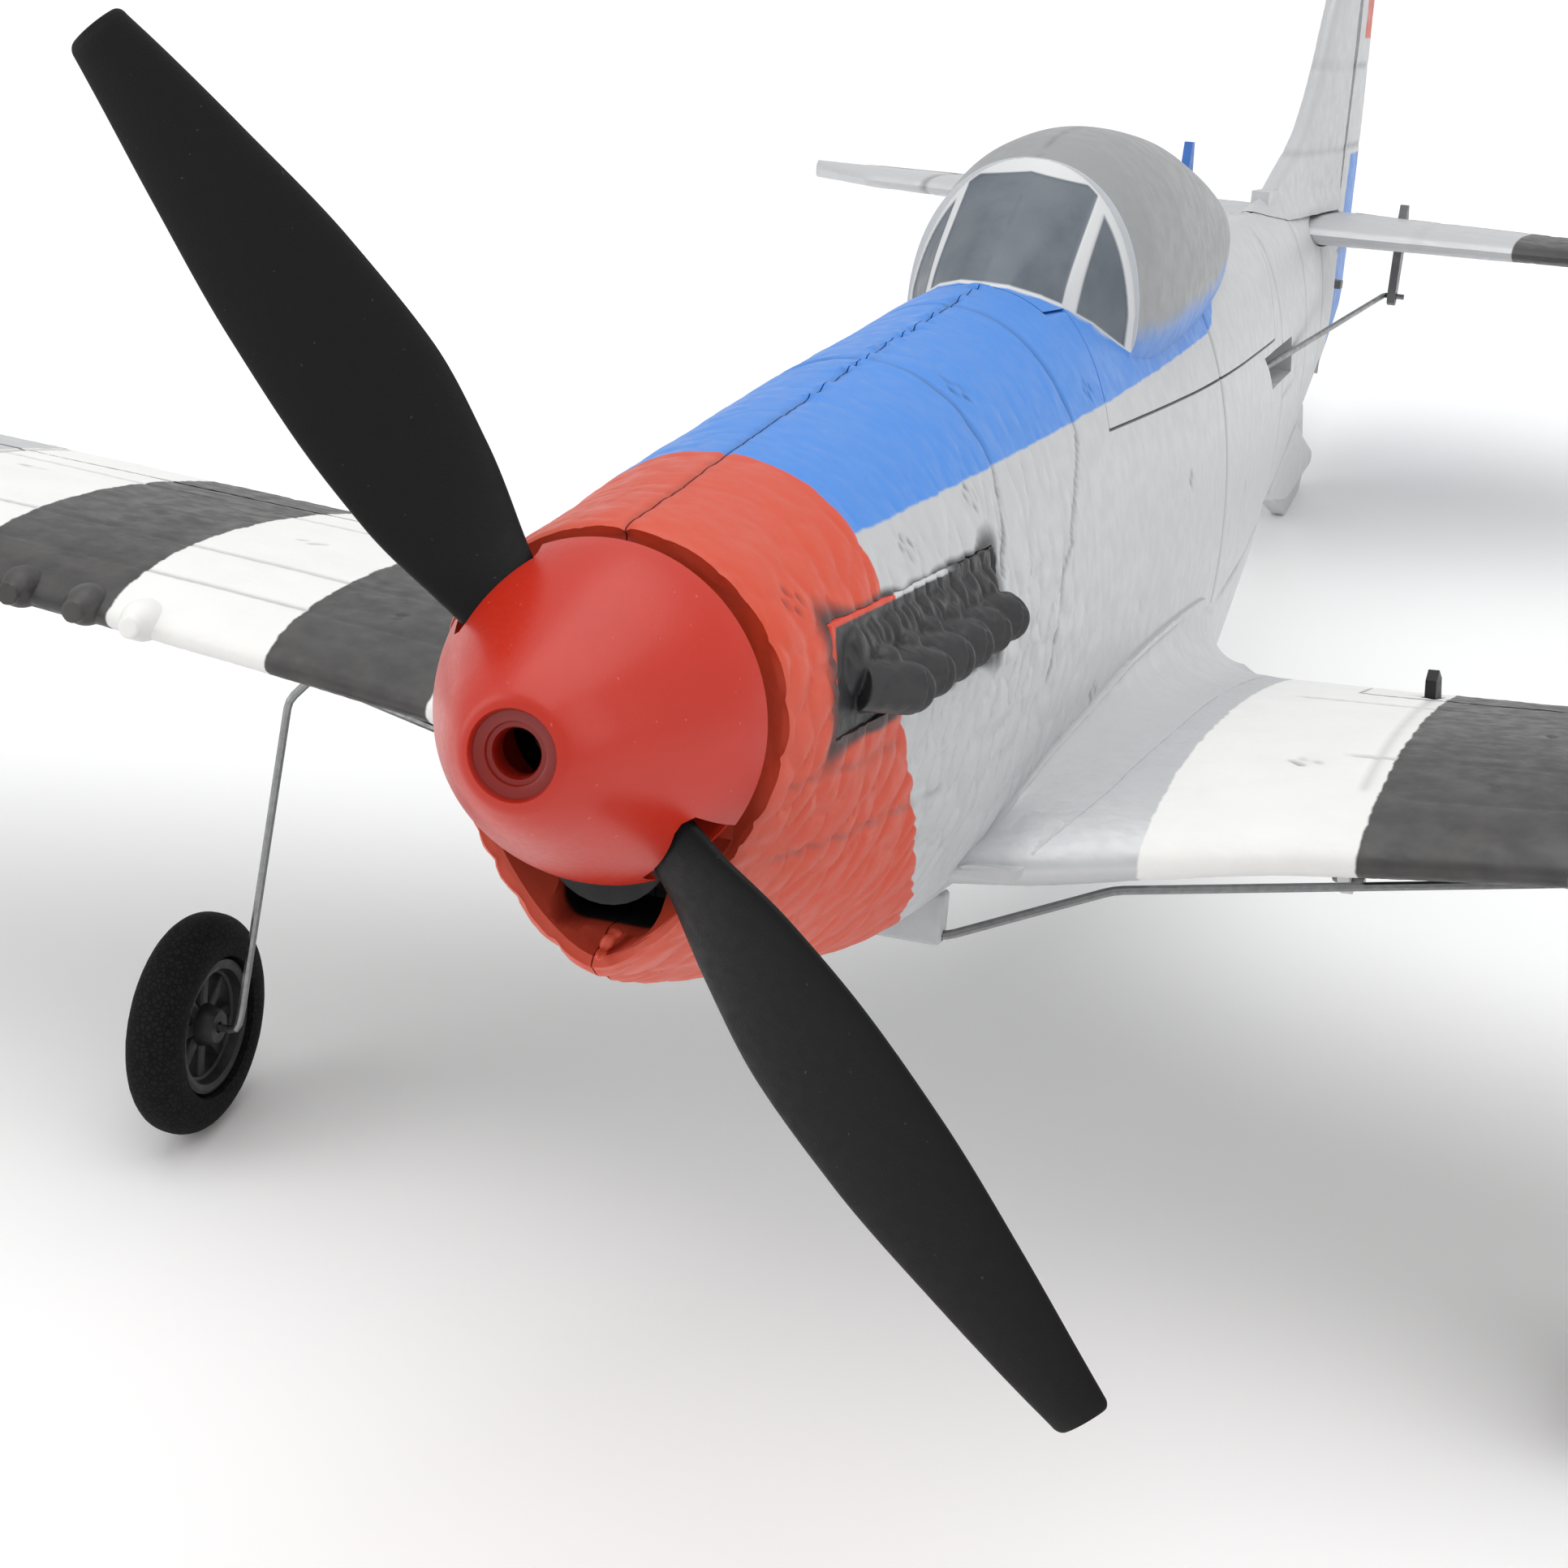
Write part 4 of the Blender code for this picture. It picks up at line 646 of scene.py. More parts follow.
def fuselage():
    ys = np.concatenate([spaced(1.8, 96.0, 0.36 * FINE), spaced(96.0, HINGE_Y - 0.9, 0.8 * FINE)[1:]])
    hull = grid("hull", hull_sections(ys, int(210 / FINE) // 2 * 2))
    raised(hull, hull_relief)
    hollow_ys = (CAVITY[0], 40, 56, 75, 96, 120, 140, 160, 180, CAVITY[1])
    hollow = grid("hollow", hull_sections(hollow_ys, 40, WALL))
    places = points_of(hollow.data)
    places[:, 2] = np.maximum(places[:, 2], CAVITY_FLOOR)
    hollow.data.vertices.foreach_set("co", places.ravel())
    saddle_rings = wing_sections([0, 24], 60, SLIT)
    saddle = np.array([saddle_rings[1] * (-1, 1, 1), saddle_rings[0], saddle_rings[1]])
    magnet_pocket = bar("magnet_pocket", 2.1, (0, 203, 10.2), (0, 203, 14.8), 32)
    tools = [
        hollow,
        grid("saddle", saddle),
        grid("stab_slot", stab_sections([-20, 0, 20], 24, SLIT)),
        hatch_prism("hatch_hole", 0.0),
        bar("nose_bore", 11.2, (0, 0, 0), (0, CAVITY[0] + 3, 0), 160),
        bar("motor_bay", 5.4, (0, 0, -MOTOR_DROP), (0, CAVITY[0] + 3, -MOTOR_DROP), 64),
        chin_dish(),
        rounded_slot("chin_duct", 4.2, -17.2, -9.0, 3.0, 15.0, 1.9),
        box("scoop_recess", (-7, 131, -38.3), (7, 140, -33.4)),
        box("fin_slot", (-1.5, 237.7, 16.7), (1.5, 256.3, 40)),
        magnet_pocket,
        box("skid_slot", (-1.5, 263.7, -20), (1.5, 284.3, 1.3)),
        exhaust_wedge("recess_left", 1, EXHAUST_RECESS),
        exhaust_wedge("recess_right", -1, EXHAUST_RECESS),
        box("rod_slot_left", (5.5, 186, 6.6), (11.2, 226, 11.2)),
        box("rod_slot_right", (-12.0, 158, 6.0), (-7.5, 229, 13.6)),
    ]
    lid = copy_of(hull, "hatch_skin")
    carved(lid, [bubble(), windscreen()], "UNION")
    carved(lid, [hatch_prism("hatch_block", SLIT)], "INTERSECT")
    carved(lid, [hollow, magnet_pocket, box("arm_relief", (5.0, 138.0, 8.0), (10.2, 155.5, 18.6))])
    raised(lid, canopy_relief)
    piece(lid, "hatch", LOOKS["hatch"], ["canopy_hatch"], hull_shade)

    shell = carved(hull, tools)
    for side, name in ((1, "left"), (-1, "right")):
        near, far = sorted((SEAM_X * side, 40 * side))
        half = copy_of(shell, "foam_shell_" + name)
        carved(half, [box("half_" + name, (near, -5, -60), (far, 320, 60))], "INTERSECT")
        if side > 0:
            glue = remeshed(merged("glue", [
                lump("g", (0.9, 2.8, -17.6), (0.5, 0.6, 0.8), Matrix.Rotation(0.5, 4, "Y")),
                lump("g", (1.3, 3.4, -17.0), (0.6, 0.5, 0.4)),
                lump("g", (0.8, 1.9, -18.3), (0.4, 0.7, 0.35), Matrix.Rotation(0.4, 4, "X"))]), 0.16, 2)
            carved(half, [glue], "UNION")
        piece(half, "airframe", LOOKS["fuselage"], ["fuselage_" + name], hull_shade)
    bpy.data.objects.remove(hull)


def canopy_relief(places):
    """The windscreen's glass lies a little below its frames."""
    x, y, z = places.T
    x = np.abs(x)
    foot = np.interp(x, [p[0] for p in SCREEN_FOOT], [p[2] for p in SCREEN_FOOT])
    front = ramp(PILLAR_X - x, 0.3, 0.6) * ramp(z - foot, 0.3, 0.6) * ramp(-z - 0.15 * x, -35.3, -35.0)
    flank = ramp(x - PILLAR_X, 0.4, 0.7) * ramp(z - foot, 0.2, 0.5) * ramp(-y, -110.0, -109.7)
    return -0.18 * np.maximum(front, flank) * ramp(-y, -110.6, -110.3)


def root_fillet(side, name):
    """The concave fairing between the fuselage and the wing's upper skin."""
    top_line = [(60.5, -23.6), (64.0, -20.6), (67.5, -18.6), (70.8, -17.0), (76.2, -15.3), (85.9, -13.5),
                (106.7, -10.8), (125.0, -10.2), (142.5, -10.8), (152.0, -13.5)]
    out_line = [(60.5, 17.0), (64.0, 19.0), (68.0, 20.6), (76.0, 22.4), (100.0, 24.0), (140.0, 24.0),
                (152.0, 20.0)]
    rows = []
    for y in spaced(60.6, 151.8, 0.7 * FINE):
        high, out = flowing(top_line, y), flowing(out_line, y)
        ring = hull_sections([y], 400)[0][:200]
        inner = np.interp(-high, -ring[:, 2], ring[:, 0])
        foot = wing_height(out, min(y, 149.0)) + 0.06
        t = np.linspace(0, 1, 30)[:, None]
        start, corner, end = (np.array(point) for point in
                              ((inner + 0.28, high), (inner + 0.5, foot + 0.25), (out, foot)))
        curve = start * (1 - t) ** 2 + corner * 2 * t * (1 - t) + end * t * t
        curve[:, 0] += 0.32 * bell(t[:, 0] - 0.03, 0.035)
        curve[:, 0] += 0.12 * (rolling(y / 1.1, t[:, 0] * 14, 11) - 0.5) * (1 - t[:, 0])
        inside = [(out - 0.4, foot - 1.2), (inner - 2.0, foot - 1.2), (inner - 2.0, high - 0.6),
                  (inner - 0.6, high + 0.05)]
        curve = np.concatenate([curve, inside])
        rows.append([(px * side, y, pz) for px, pz in curve])
    return piece(grid(name, rows), "airframe", LOOKS["fuselage"])


# Wing ------------------------------------------------------


def wing_grooves(x, y):
    """Moulded panel lines of the wing, by their place in the plan."""
    out = np.abs(x)
    front = flowing(LEADING_EDGE, out)
    u = (y - front) / (flowing(TRAILING_EDGE, out) - front)
    spar = 0.22 * bell((u - 0.3) * 70, 0.3) * ramp(out, 40, 42)
    rear = 0.2 * bell((u - 0.7) * 70, 0.3) * ramp(out, 30, 32)
    nose = 0.2 * bell((u - 0.14) * 70, 0.28) * ramp(out, 47, 49)
    cut = np.maximum(np.maximum(spar, rear), nose)
    for across in (44.0, 60.0, 90.0, 118.0, 146.0, 172.0):
        cut = np.maximum(cut, 0.18 * bell(out - across, 0.3) * ramp(u, 0.14, 0.17))
    for mark_x, mark_u in ((36, 0.25), (54, 0.2), (57, 0.52), (73, 0.5), (91, 0.35), (110, 0.6), (150, 0.4)):
        for dx, dy in ((0, 0), (1.1, 0.5), (1.0, -0.8), (2.2, 0.1)):
            spot = np.hypot(out - mark_x - dx, (u - mark_u) * 70 - dy)
            cut = np.maximum(cut, 0.3 * bell(spot, 0.3))
    return cut


def wing_relief(places):
    x, y, z = places.T
    pebbles = cells(x / 1.5, y / 1.5, 21)
    waves = rolling(x / 5, y / 3.2, 22) - 0.5
    return 0.05 * ramp(pebbles, 0, 0.5) + 0.1 * waves - wing_grooves(x, y)


def wing_shade(places):
    return np.clip(wing_grooves(places[:, 0], places[:, 1]) / 0.2, 0, 1)


def hinge_end(x):
    """A point of the aileron hinge, which lies in the wing's upper skin."""
    chord = AILERON_CHORD[0] + (AILERON_CHORD[1] - AILERON_CHORD[0]) * (x - AILERON_SPAN[0]) / 130
    plan = [np.interp(x, *zip(*edge)) for edge in (LEADING_EDGE, TRAILING_EDGE)]
    y = plan[1] - chord
    u = (y - plan[0]) / (plan[1] - plan[0])
    rise = (camber(u) + half_thickness(u, WING_THICKNESS)) * (plan[1] - plan[0])
    return Vector((x, y, chord_line(x, u) + rise))


def wedge(name, inner, outer, front_top, front_low, trim, side):
    """A prism round the aileron, its front face leaning aft by the difference of its two front values."""
    rings = []
    for point, x in ((inner, inner.x + trim), (outer, outer.x - trim)):
        corners = ((front_top, 1.0), (30, 1.0), (30, -12.0), (front_low, -12.0))
        rings.append([(x * side, point.y + y, point.z + z) for y, z in corners])
    return grid(name, rings)


def wing(side):
    tag = "left" if side > 0 else "right"
    xs = spaced(0.15, HALF_SPAN, 0.75 * FINE)
    rows = wing_sections(xs, int(240 / FINE) // 2 * 2) * (side, 1, 1)
    skin = grid("wing_skin", rows)
    raised(skin, wing_relief)
    inner, outer = hinge_end(AILERON_SPAN[0]), hinge_end(AILERON_SPAN[1])
    flip = Vector((side, 1, 1))
    axis = ((outer - inner) * flip).normalized() * side
    station = inner.lerp(outer, 7 / (outer - inner).length) * flip
    back = Vector((0, 1, 0))
    back = (back - axis * back.dot(axis)).normalized()
    linkage = Matrix((axis, back, axis.cross(back))).transposed().to_4x4()
    linkage.translation = station
    flap = copy_of(skin, "foam_aileron_" + tag)
    carved(skin, [wedge("room_" + tag, inner, outer, -0.2, -0.2, 0.0, side),
                  box("servo_pocket_" + tag, (-1.3, -37.2, -12), (8.8, -18.8, -1.2), linkage)])
    guns = []
    for out in GUNS:
        front = float(flowing(LEADING_EDGE, out))
        base = ROOT_LE_Z + out * math.tan(DIHEDRAL)
        guns.append(lump("g", (out * side, front + 1.4, base + 0.5), (2.2, 3.2, 2.2), divisions=3))
        ends = [(out * side, front + y, base + 0.2) for y in (-1.9, 3)]
        guns.append(bar("g", 1.2, *ends, 20))
    guns = remeshed(merged("guns", guns), 0.22 * FINE, 2)
    carved(skin, [guns], "UNION")
    piece(skin, "airframe", LOOKS["wing"], ["wing_" + tag], wing_shade)
    skin.name = "foam_wing_" + tag
    carved(flap, [wedge("keep_" + tag, inner, outer, 0.15, 5.6, 0.4, side)], "INTERSECT")
    carved(flap, [box("horn_slot_" + tag, (-0.9, 2.0, -9), (0.9, 5.9, 4), linkage)])
    piece(flap, "aileron_" + tag, LOOKS["wing"], ["aileron_" + tag], wing_shade)


# Tail ------------------------------------------------------


def tail_relief(places):
    x, y, z = places.T
    across = np.where(np.abs(z - STAB_Z) < 3, x, z)
    pebbles = cells(across / 1.6, y / 1.6, 31)
    cut = 0.0
    for line in (18.0, 34.0, 46.0, 58.0):
        cut = np.maximum(cut, 0.16 * bell(np.abs(across) - line, 0.3))
    return 0.045 * ramp(pebbles, 0, 0.5) + 0.08 * (rolling(across / 4, y / 4, 32) - 0.5) - cut


def tail_shade(places):
    x, y, z = places.T
    across = np.abs(np.where(np.abs(z - STAB_Z) < 3, x, z))
    cut = np.zeros(len(x))
    for line in (18.0, 34.0, 46.0, 58.0):
        cut = np.maximum(cut, bell(across - line, 0.3))
    return cut * 0.8


def tapered(near, back, half, count=24):
    """A section from a flat hinge face back to a thin trailing edge, as (aft, half thickness) points."""
    u = np.linspace(0, 1, count)
    thick = flowing([(0, half), (0.45, half * 0.75), (1, 0.4)], u)
    upper = [(near + (back - near) * s, h) for s, h in zip(u, thick)]
    return upper + [(a, -h) for a, h in upper[::-1]]


def tail():
    stab = grid("foam_stabilizer", stab_sections(spaced(-STAB_HALF_SPAN, STAB_HALF_SPAN, 0.9 * FINE), 90))
    raised(stab, tail_relief)
    piece(stab, "airframe", LOOKS["tail"], ["stabilizer"], tail_shade)

    rows = []
    for z in spaced(FIN_FOOT, 71.0, 0.8 * FINE):
        lead = flowing(FIN_FRONT, z)
        half = (2.1 - 0.6 * (z - 26.9) / 44.1) * min(1.0, math.sqrt(max(71.6 - z, 0) / 2.5 + 0.05))
        half += 0.7 * (1 - float(ramp(z, 25.6, 28.6)))
        u = np.linspace(0, 1, 46) ** 1.5
        w = flowing([(0, 0), (0.04, 0.4), (0.18, 0.75), (0.5, 1.0), (1, 0.95)], u) * half
        y = lead + (HINGE_Y - 0.9 - lead) * u
        port = np.column_stack([w, y, np.full(len(u), z)])
        rows.append(np.concatenate([port, port[:0:-1] * (-1, 1, 1)]))
    fin = grid("foam_fin", rows)
    raised(fin, tail_relief)
    carved(fin, [grid("tail_deck", hull_sections(spaced(212.0, HINGE_Y - 0.9, 3), 200, -SKIN_GAP))])
    carved(fin, [box("fin_tab", (-1.2, 238, 17), (1.2, 256, 29))], "UNION")
    piece(fin, "airframe", LOOKS["tail"], ["fin"], tail_shade)

    rows = []
    for z in spaced(-0.4, 71.0, 0.8 * FINE):
        back = float(flowing(RUDDER_BACK, z))
        half = (1.9 - 0.4 * float(ramp(z, 50, 66))) * (1 - 0.3 * float(ramp(z, 68, 71)))
        rows.append([(w, y, z) for y, w in tapered(HINGE_Y + 0.9, back, half)])
    rudder = grid("foam_rudder", rows)
    raised(rudder, tail_relief)
    carved(rudder, [box("joiner_notch", (-5, HINGE_Y - 2, 20.6), (5, HINGE_Y + 2.6, 24.4)),
                    box("rudder_horn_slot", (-5, HINGE_Y + 2.2, RUDDER_HORN_Z - 0.9),
                        (5, HINGE_Y + 6.2, RUDDER_HORN_Z + 0.9))])
    piece(rudder, "rudder", LOOKS["rudder"], ["rudder"], tail_shade)

    for side, name in ((1, "left"), (-1, "right")):
        plan = [(4.6, 9.0, 40, 70, 78), (6.0, 15.0, 14.4, 12.6, 7.0), (1.9, 1.8, 1.5, 1.3, 1.0)]
        rows = []
        for x in spaced(4.6, 78.0, 0.9 * FINE):
            back, half = (np.interp(x, plan[0], column) for column in plan[1:])
            rows.append([(x * side, HINGE_Y + y, STAB_Z + h) for y, h in tapered(0.9, back, half)])
        elevator = grid("foam_elevator_" + name, rows)
        raised(elevator, tail_relief)
        near, far = sorted((4 * side, 7 * side))
        low, high = (near, HINGE_Y - 2, STAB_Z - 0.8), (far, HINGE_Y + 1.6, STAB_Z + 0.8)
        tools = [box("joiner_groove_" + name, low, high)]
        if side > 0:
            tools.append(box("elevator_horn_slot", (10.6, HINGE_Y + 1.7, STAB_Z - 5),
                             (12.4, HINGE_Y + 5.6, STAB_Z + 5)))
        carved(elevator, tools)
        piece(elevator, "elevator", LOOKS["tail"], ["elevator_" + name], tail_shade)

    back, front = 296.0, 286.0
    sole = [(y, -20.2 + (y - 291.0) * SKID_SLOPE) for y in (back, front)]
    outline = [(284, 1.0), (264, 1.0), (264, -9.2), (262, -12.5), (272, -17.5), sole[1], sole[0],
               (297.5, -16.5), (290, -4.5), (284, -4.0)]
    skid = grid("moulded_tail_skid", [[(x, y, z) for y, z in outline] for x in (-1.2, 1.2)])
    bevelled(skid, 0.45, 3)
    fairing = [(252.0, -14.9), (260.0, -10.0), (270.0, -5.0), (289.0, -11.2), (288.2, -13.8), (270.5, -16.9)]
    wide = grid("skid_fairing", [[(x, y, z) for y, z in fairing] for x in (-3.8, 3.8)])
    bevelled(wide, 1.2, 4)
    carved(wide, [grid("tail_belly", hull_sections(spaced(240.0, HINGE_Y - 0.9, 3), 200, -SKIN_GAP))])
    carved(skid, [wide], "UNION")
    piece(skid, "airframe", LOOKS["fuselage"], ["tail_skid"], sharp=35)


# Nose ------------------------------------------------------


def blade(flip):
    shape = [(2.5, 2.2, 2.2, 2.6), (8, 2.8, 2.8, 2.2), (12, 3.6, 3.7, 1.9), (20, 5.0, 5.6, 1.7),
             (28, 5.4, 6.6, 1.5), (37, 5.1, 6.1, 1.3), (48, 4.0, 4.5, 1.1), (56, 3.0, 3.1, 0.9),
             (PROP_RADIUS - 0.9, 2.6, 2.4, 0.8)]
    rows = []
    ends = [PROP_RADIUS - 0.9 * (1 - math.sin(a)) for a in np.linspace(0.2, math.pi / 2, 7)]
    for radius in list(spaced(2.5, PROP_RADIUS - 0.9, 0.6 * FINE)) + ends:
        lead, trail, thick = (float(flowing(shape, min(radius, PROP_RADIUS - 0.9), k)) for k in (1, 2, 3))
        past = max(radius - PROP_RADIUS + 0.9, 0) / 0.9
        shrink = 0.75 * (1 - math.sqrt(max(1 - past**2, 0)))
        lead, trail, thick = lead - shrink, trail - shrink, thick * (1 - 0.35 * past)
        twist = min(math.atan(PROP_PITCH / (2 * math.pi * radius)), math.radians(32))
        ring = []
        for i in range(64):
            a = 2 * math.pi * i / 64
            along = (lead + trail) / 2 * math.cos(a) + (lead - trail) / 2
            deep = thick / 2 * math.copysign(abs(math.sin(a)) ** 0.8, math.sin(a))
            deep += 0.25 * (1 - math.cos(a) ** 2)
            side = along * math.cos(twist) - deep * math.sin(twist)
            fore = along * math.sin(twist) + deep * math.cos(twist)
            ring.append((-side * flip, PROP_Y - fore, radius * flip))
        rows.append(ring)
    return grid("blade", rows)


def nose():
    spin = Matrix.Rotation(PROP_ANGLE, 4, "Y")
    outside = [(3.25, 15.98), (3.7, 15.9), (4.6, 15.2), (6.0, 13.5), (7.3, 11.4), (8.6, 9.1), (9.8, 6.8),
               (10.8, 4.8), (11.6, 3.0), (12.2, 1.4), (SPINNER_RADIUS, 0.0)]
    inside = [(11.5, 0.0), (9.9, 4.2), (7.8, 8.2), (5.4, 12.0), (3.6, 13.4)]
    tip = [(1.7, 13.4), (1.7, 14.9), (1.82, 15.1), (2.15, 15.15), (2.25, 15.35), (2.4, 15.42), (3.0, 15.5)]
    profile = tip + smooth_profile(outside) + inside
    cone = turned("spinner_cone", profile, (0, 0, 0), (0, -1, 0), 160)
    slots = []
    notch = [(-3.5, 2.0), (-3.5, -4.9), (-2.7, -5.7), (-1.8, -5.6), (3.7, -2.2), (3.9, -1.4), (3.9, 2.0)]
    for sign in (1, -1):
        slot = grid("blade_slot", [[(x * sign, y, z * sign) for x, y in notch] for z in (5.0, 16.0)])
        slot.data.transform(spin)
        slots.append(slot)
    carved(cone, slots)
    piece(cone, "propeller", LOOKS["spinner"], ["spinner"], sharp=32)
    plate = [(1.3, -0.4), (11.6, -0.4), (12.0, -0.6), (12.1, -1.2), (11.8, -1.5), (9.0, -1.5), (8.8, -1.2),
             (4.6, -1.2), (4.4, -1.5), (1.3, -1.5)]
    disc = turned("backplate_disc", plate, (0, 0, 0), (0, -1, 0), 96)
    piece(disc, "propeller", LOOKS["spinner"], ["spinner_backplate"], sharp=32)

    first, second = blade(1), blade(-1)
    for obj in (first, second):
        obj.data.transform(spin)
    carved(first, [second, bar("prop_hub", 4.2, (0, -5.8, 0), (0, -0.1, 0), 64)], "UNION")
    carved(first, [bar("prop_bore", 1.25, (0, -8, 0), (0, 3, 0), 32)])
    piece(first, "propeller", LOOKS["prop"], ["propeller"], sharp=45)
    first.name = "moulded_propeller"


def exhaust(side, name):
    """A strip in its slot, a wrinkled plate on it and six fat stubs raked aft."""
    shapes = [exhaust_wedge("strip", side, EXHAUST_STRIP)]
    for y, tall in zip(np.linspace(15.5, 47.5, 17), np.tile([2.9, 2.6], 9)):
        share = (y - 10.8) / 40
        place = ((13.2 + 1.55 * share) * side, y, 2.9 + 0.5 * share)
        shapes.append(lump("p", place, (1.6, 2.2, tall), divisions=3))
    for i in range(STUBS):
        y, z = STUB_END[1] + STUB_STEP * i, STUB_END[2] + 0.2 * i
        end = Vector(((STUB_END[0] - 0.2) * side, y - 0.9, z))
        start = end - Vector((3.0 * side, 4.6, -0.5))
        shapes.append(bar("s", 1.95, start, end, 40, 2.1))
        shapes.append(lump("s", end, (2.0, 1.1, 2.0), divisions=3))
        shapes.append(lump("s", end + Vector((-2.2 * side, -1.0, 2.2)), (1.5, 1.8, 1.2), divisions=3))
    row = remeshed(merged(name, shapes), 0.16 * FINE, 1)

    def folds(places):
        x, y, z = places.T
        plate = ramp(z, 2.6, 3.4) * ramp(np.abs(x), 13.6, 14.4)
        wrinkle = rolling(y / 1.1, z / 1.5, 41) - 0.5
        dent = bell(np.mod(y + z * 0.35 + 2.8, STUB_STEP / 2) - STUB_STEP / 4, 0.3)
        return plate * (0.28 * wrinkle - 0.22 * dent) + 0.05 * (rolling(y / 0.7, z / 0.7, 42) - 0.5)

    raised(row, folds)
    piece(row, "airframe", LOOKS["exhaust"], [name], sharp=60)
    row.name = "moulded_" + name


# Undercarriage ---------------------------------------------


def wheel(side, tag):
    centre = Vector((WHEEL.x * side, WHEEL.y, WHEEL.z))
    tread = []
    for i in range(33):
        a = math.radians(-112 + 224 * i / 32)
        swell = math.copysign(abs(math.sin(a)) ** 0.85, math.sin(a))
        tread.append((8.9 + (TYRE_RADIUS - 8.9) * math.cos(a), TYRE_WIDTH / 2 * swell))
    tyre = turned("foam_tyre_" + tag, tread[::-1], centre, (1, 0, 0), 120)
    raised(tyre, lambda places: 0.03 * (cells(places[:, 1] / 0.7, places[:, 2] / 0.7, 51) - 0.3))
    piece(tyre, "wheel_" + tag, LOOKS["tyre"], ["tyre_" + tag], sharp=60)

    outline = [(7.3, 2.3), (7.3, -2.3), (6.9, -2.4), (6.3, -2.2), (6.0, -1.2), (5.7, -1.0), (5.7, 1.0),
               (6.0, 1.2), (6.3, 2.2), (6.9, 2.4)]
    rim = turned("rim", outline, centre, (1, 0, 0), 96)
    outline = [(0.62, 2.7), (0.62, -2.7), (1.7, -2.7), (1.95, -2.4), (2.3, -1.2), (2.5, 0.0), (2.3, 1.2),
               (1.95, 2.4), (1.7, 2.7)]
    boss = turned("boss", outline, centre, (1, 0, 0), 64)
    spokes = []
    for i in range(8):
        turn = Matrix.Translation(centre) @ Matrix.Rotation(2 * math.pi * i / 8, 4, "X")
        spoke = box("spoke", (-0.9, -0.75, 1.6), (0.9, 0.75, 6.3), turn)
        spokes.append(bevelled(spoke, 0.3, 3))
    carved(rim, [boss] + spokes, "UNION")
    rim.name = "spoked_hub_" + tag
    piece(rim, "wheel_" + tag, LOOKS["plastic"], ["hub_" + tag], sharp=32)


def belly_clip():
    low, high = BELLY_WIRE - Vector((0, 1.3, 0.8)), BELLY_WIRE + Vector((-0.2, 1.3, 4.2))
    clip = box("moulded_belly_clip", (-high.x, low.y, low.z), high)
    bevelled(clip, 0.5, 4)
    belly = grid("belly", hull_sections([52, 58, 64, 70, 76, 82, 88, 94], 80, -SLIT))
    reach = BELLY_WIRE.x + 2
    channel = bar("channel", 0.57, *[(x, BELLY_WIRE.y, BELLY_WIRE.z) for x in (-reach, reach)], 32)
    carved(clip, [belly, channel])
    piece(clip, "airframe", LOOKS["clip"], ["belly_clip"], sharp=35)


# Materials -------------------------------------------------

SILVER = (0.56, 0.57, 0.585)
WHITE = (0.84, 0.84, 0.82)
BLUE = (0.055, 0.235, 0.68)
RED = (0.6, 0.065, 0.026)
SOOT = (0.02, 0.02, 0.022)
STRIPE_BLACK = (0.038, 0.036, 0.036)
SLATE = (0.085, 0.105, 0.13)
DUSK = (0.27, 0.28, 0.285)


class Field:
    """A value that varies over a surface; arithmetic with it adds math nodes to its look."""

    def __init__(self, look, socket):
        self.look, self.socket = look, socket

    def __add__(self, other):
        return self.look.calc("ADD", self, other)

    def __sub__(self, other):
        return self.look.calc("SUBTRACT", self, other)

    def __rsub__(self, other):
        return self.look.calc("SUBTRACT", other, self)

    def __mul__(self, other):
        return self.look.calc("MULTIPLY", self, other)

    def __truediv__(self, other):
        return self.look.calc("DIVIDE", self, other)


